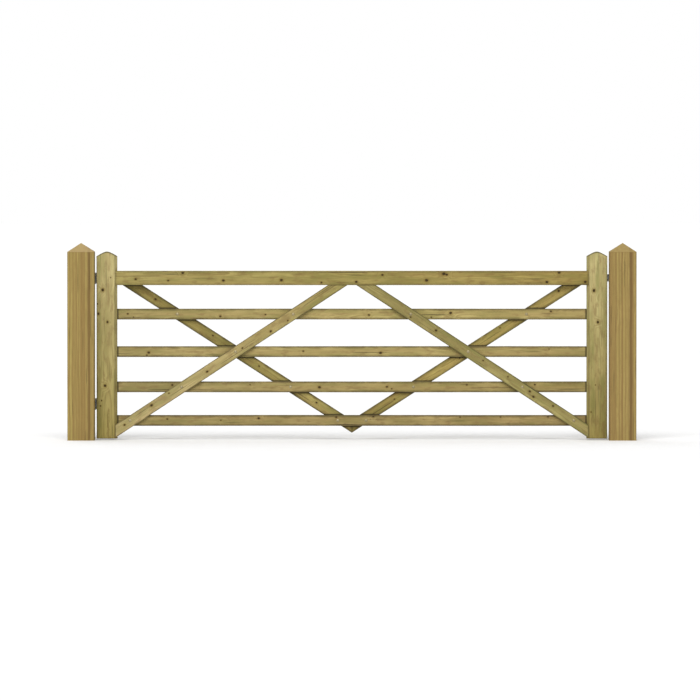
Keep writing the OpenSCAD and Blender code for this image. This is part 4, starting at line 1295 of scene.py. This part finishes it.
class FIELDGATE_OT_stage(bpy.types.Operator):
    """Makes the pale floor, the soft lamps, the pale surroundings and the camera"""

    bl_idname = "fieldgate.stage"
    bl_label = "Stage"

    def execute(self, context):
        stage = context.scene.field_gate_stage
        self.add_floor(stage)
        self.add_lamp("key_lamp", stage.key, KEY_LAMP_TURN, KEY_LAMP_SPREAD)
        self.add_lamp("fill_lamp", stage.fill, FILL_LAMP_TURN, FILL_LAMP_SPREAD)
        self.add_sky(context, stage)
        self.add_camera(context, stage)
        context.scene.view_settings.view_transform = "Standard"
        return {"FINISHED"}

    def add_floor(self, stage):
        reach = stage.floor_reach
        turns = ((-reach, -reach), (reach, -reach), (reach, reach), (-reach, reach))
        mesh = bpy.data.meshes.new("floor")
        mesh.from_pydata([(x, y, 0.0) for x, y in turns], [], [(0, 1, 2, 3)])
        floor = bpy.data.objects.new("floor", mesh)
        bpy.context.scene.collection.objects.link(floor)
        material, net, shader = new_material("floor_paint")
        place = net.node("ShaderNodeTexCoord", {}).outputs["Object"]
        mottle = net.step(net.noise(place, *MOTTLE_NOISE), *MOTTLE_FADE)
        tone = toned(stage.floor_tone, EVEN)
        color = net.mix(mottle, toned(tone, EVEN, MOTTLE_SHADE), tone)
        net.tree.links.new(color, shader.inputs["Base Color"])
        shader.inputs["Roughness"].default_value = FLOOR_ROUGHNESS
        shader.inputs["Specular IOR Level"].default_value = FLOOR_GLOSS
        mesh.materials.append(material)

    def add_lamp(self, name, strength, turn, spread):
        lamp = bpy.data.lights.new(name, "SUN")
        lamp.energy = strength
        lamp.angle = spread
        holder = bpy.data.objects.new(name, lamp)
        holder.rotation_euler = turn
        bpy.context.scene.collection.objects.link(holder)

    def add_sky(self, context, stage):
        world = bpy.data.worlds.new("pale_surroundings")
        context.scene.world = world
        world.use_nodes = True
        net = Net(world.node_tree)
        back = world.node_tree.nodes["Background"]
        back.inputs["Color"].default_value = WHITE
        seen = net.node("ShaderNodeLightPath", {}).outputs["Is Camera Ray"]
        net.tree.links.new(net.step(seen, 0.0, 1.0, stage.sky, 1.0), back.inputs["Strength"])

    def add_camera(self, context, stage):
        low, high = CAD_BOX
        aim = np.array([AIM_X, (low[1] + high[1]) / 2, AIM_Z])
        lift = stage.camera_lift
        camera = bpy.data.cameras.new("camera")
        camera.sensor_width = FILM_WIDTH
        camera.lens = camera.sensor_width * stage.camera_distance / stage.view_width
        camera.clip_start = NEAREST_SEEN
        camera.clip_end = FARTHEST_SEEN * stage.floor_reach
        holder = bpy.data.objects.new("camera", camera)
        back = np.array([0.0, -math.cos(lift), math.sin(lift)])
        holder.location = aim + back * stage.camera_distance
        holder.rotation_euler = (math.pi / 2 - lift, 0.0, 0.0)
        context.scene.collection.objects.link(holder)
        context.scene.camera = holder


PIECE_OPERATORS = (
    FIELDGATE_OT_posts, FIELDGATE_OT_stiles, FIELDGATE_OT_rails, FIELDGATE_OT_front_braces,
    FIELDGATE_OT_rear_braces, FIELDGATE_OT_pegs, FIELDGATE_OT_hinges, FIELDGATE_OT_latch,
    FIELDGATE_OT_fixings, FIELDGATE_OT_stage,
)


class FIELDGATE_PT_panel(bpy.types.Panel):
    """Lists the gate's sizes, colours and operators"""

    bl_idname = "FIELDGATE_PT_panel"
    bl_label = "Field Gate"
    bl_space_type = "VIEW_3D"
    bl_region_type = "UI"
    bl_category = "Field Gate"

    def draw(self, context):
        scene = context.scene
        for settings in (scene.field_gate_timber, scene.field_gate_steel, scene.field_gate_stage):
            column = self.layout.column(align=True)
            for key in settings.__annotations__:
                column.prop(settings, key)
        for operator in PIECE_OPERATORS:
            self.layout.operator(operator.bl_idname)


CLASSES = (FieldGateTimber, FieldGateSteel, FieldGateStage, *PIECE_OPERATORS, FIELDGATE_PT_panel)


def register():
    for cls in CLASSES:
        bpy.utils.register_class(cls)
    bpy.types.Scene.field_gate_timber = PointerProperty(type=FieldGateTimber)
    bpy.types.Scene.field_gate_steel = PointerProperty(type=FieldGateSteel)
    bpy.types.Scene.field_gate_stage = PointerProperty(type=FieldGateStage)


def unregister():
    del bpy.types.Scene.field_gate_stage
    del bpy.types.Scene.field_gate_steel
    del bpy.types.Scene.field_gate_timber
    for cls in reversed(CLASSES):
        bpy.utils.unregister_class(cls)


def main():
    register()
    for operator in PIECE_OPERATORS:
        group, name = operator.bl_idname.split(".")
        getattr(getattr(bpy.ops, group), name)()


if __name__ == "__main__":
    main()
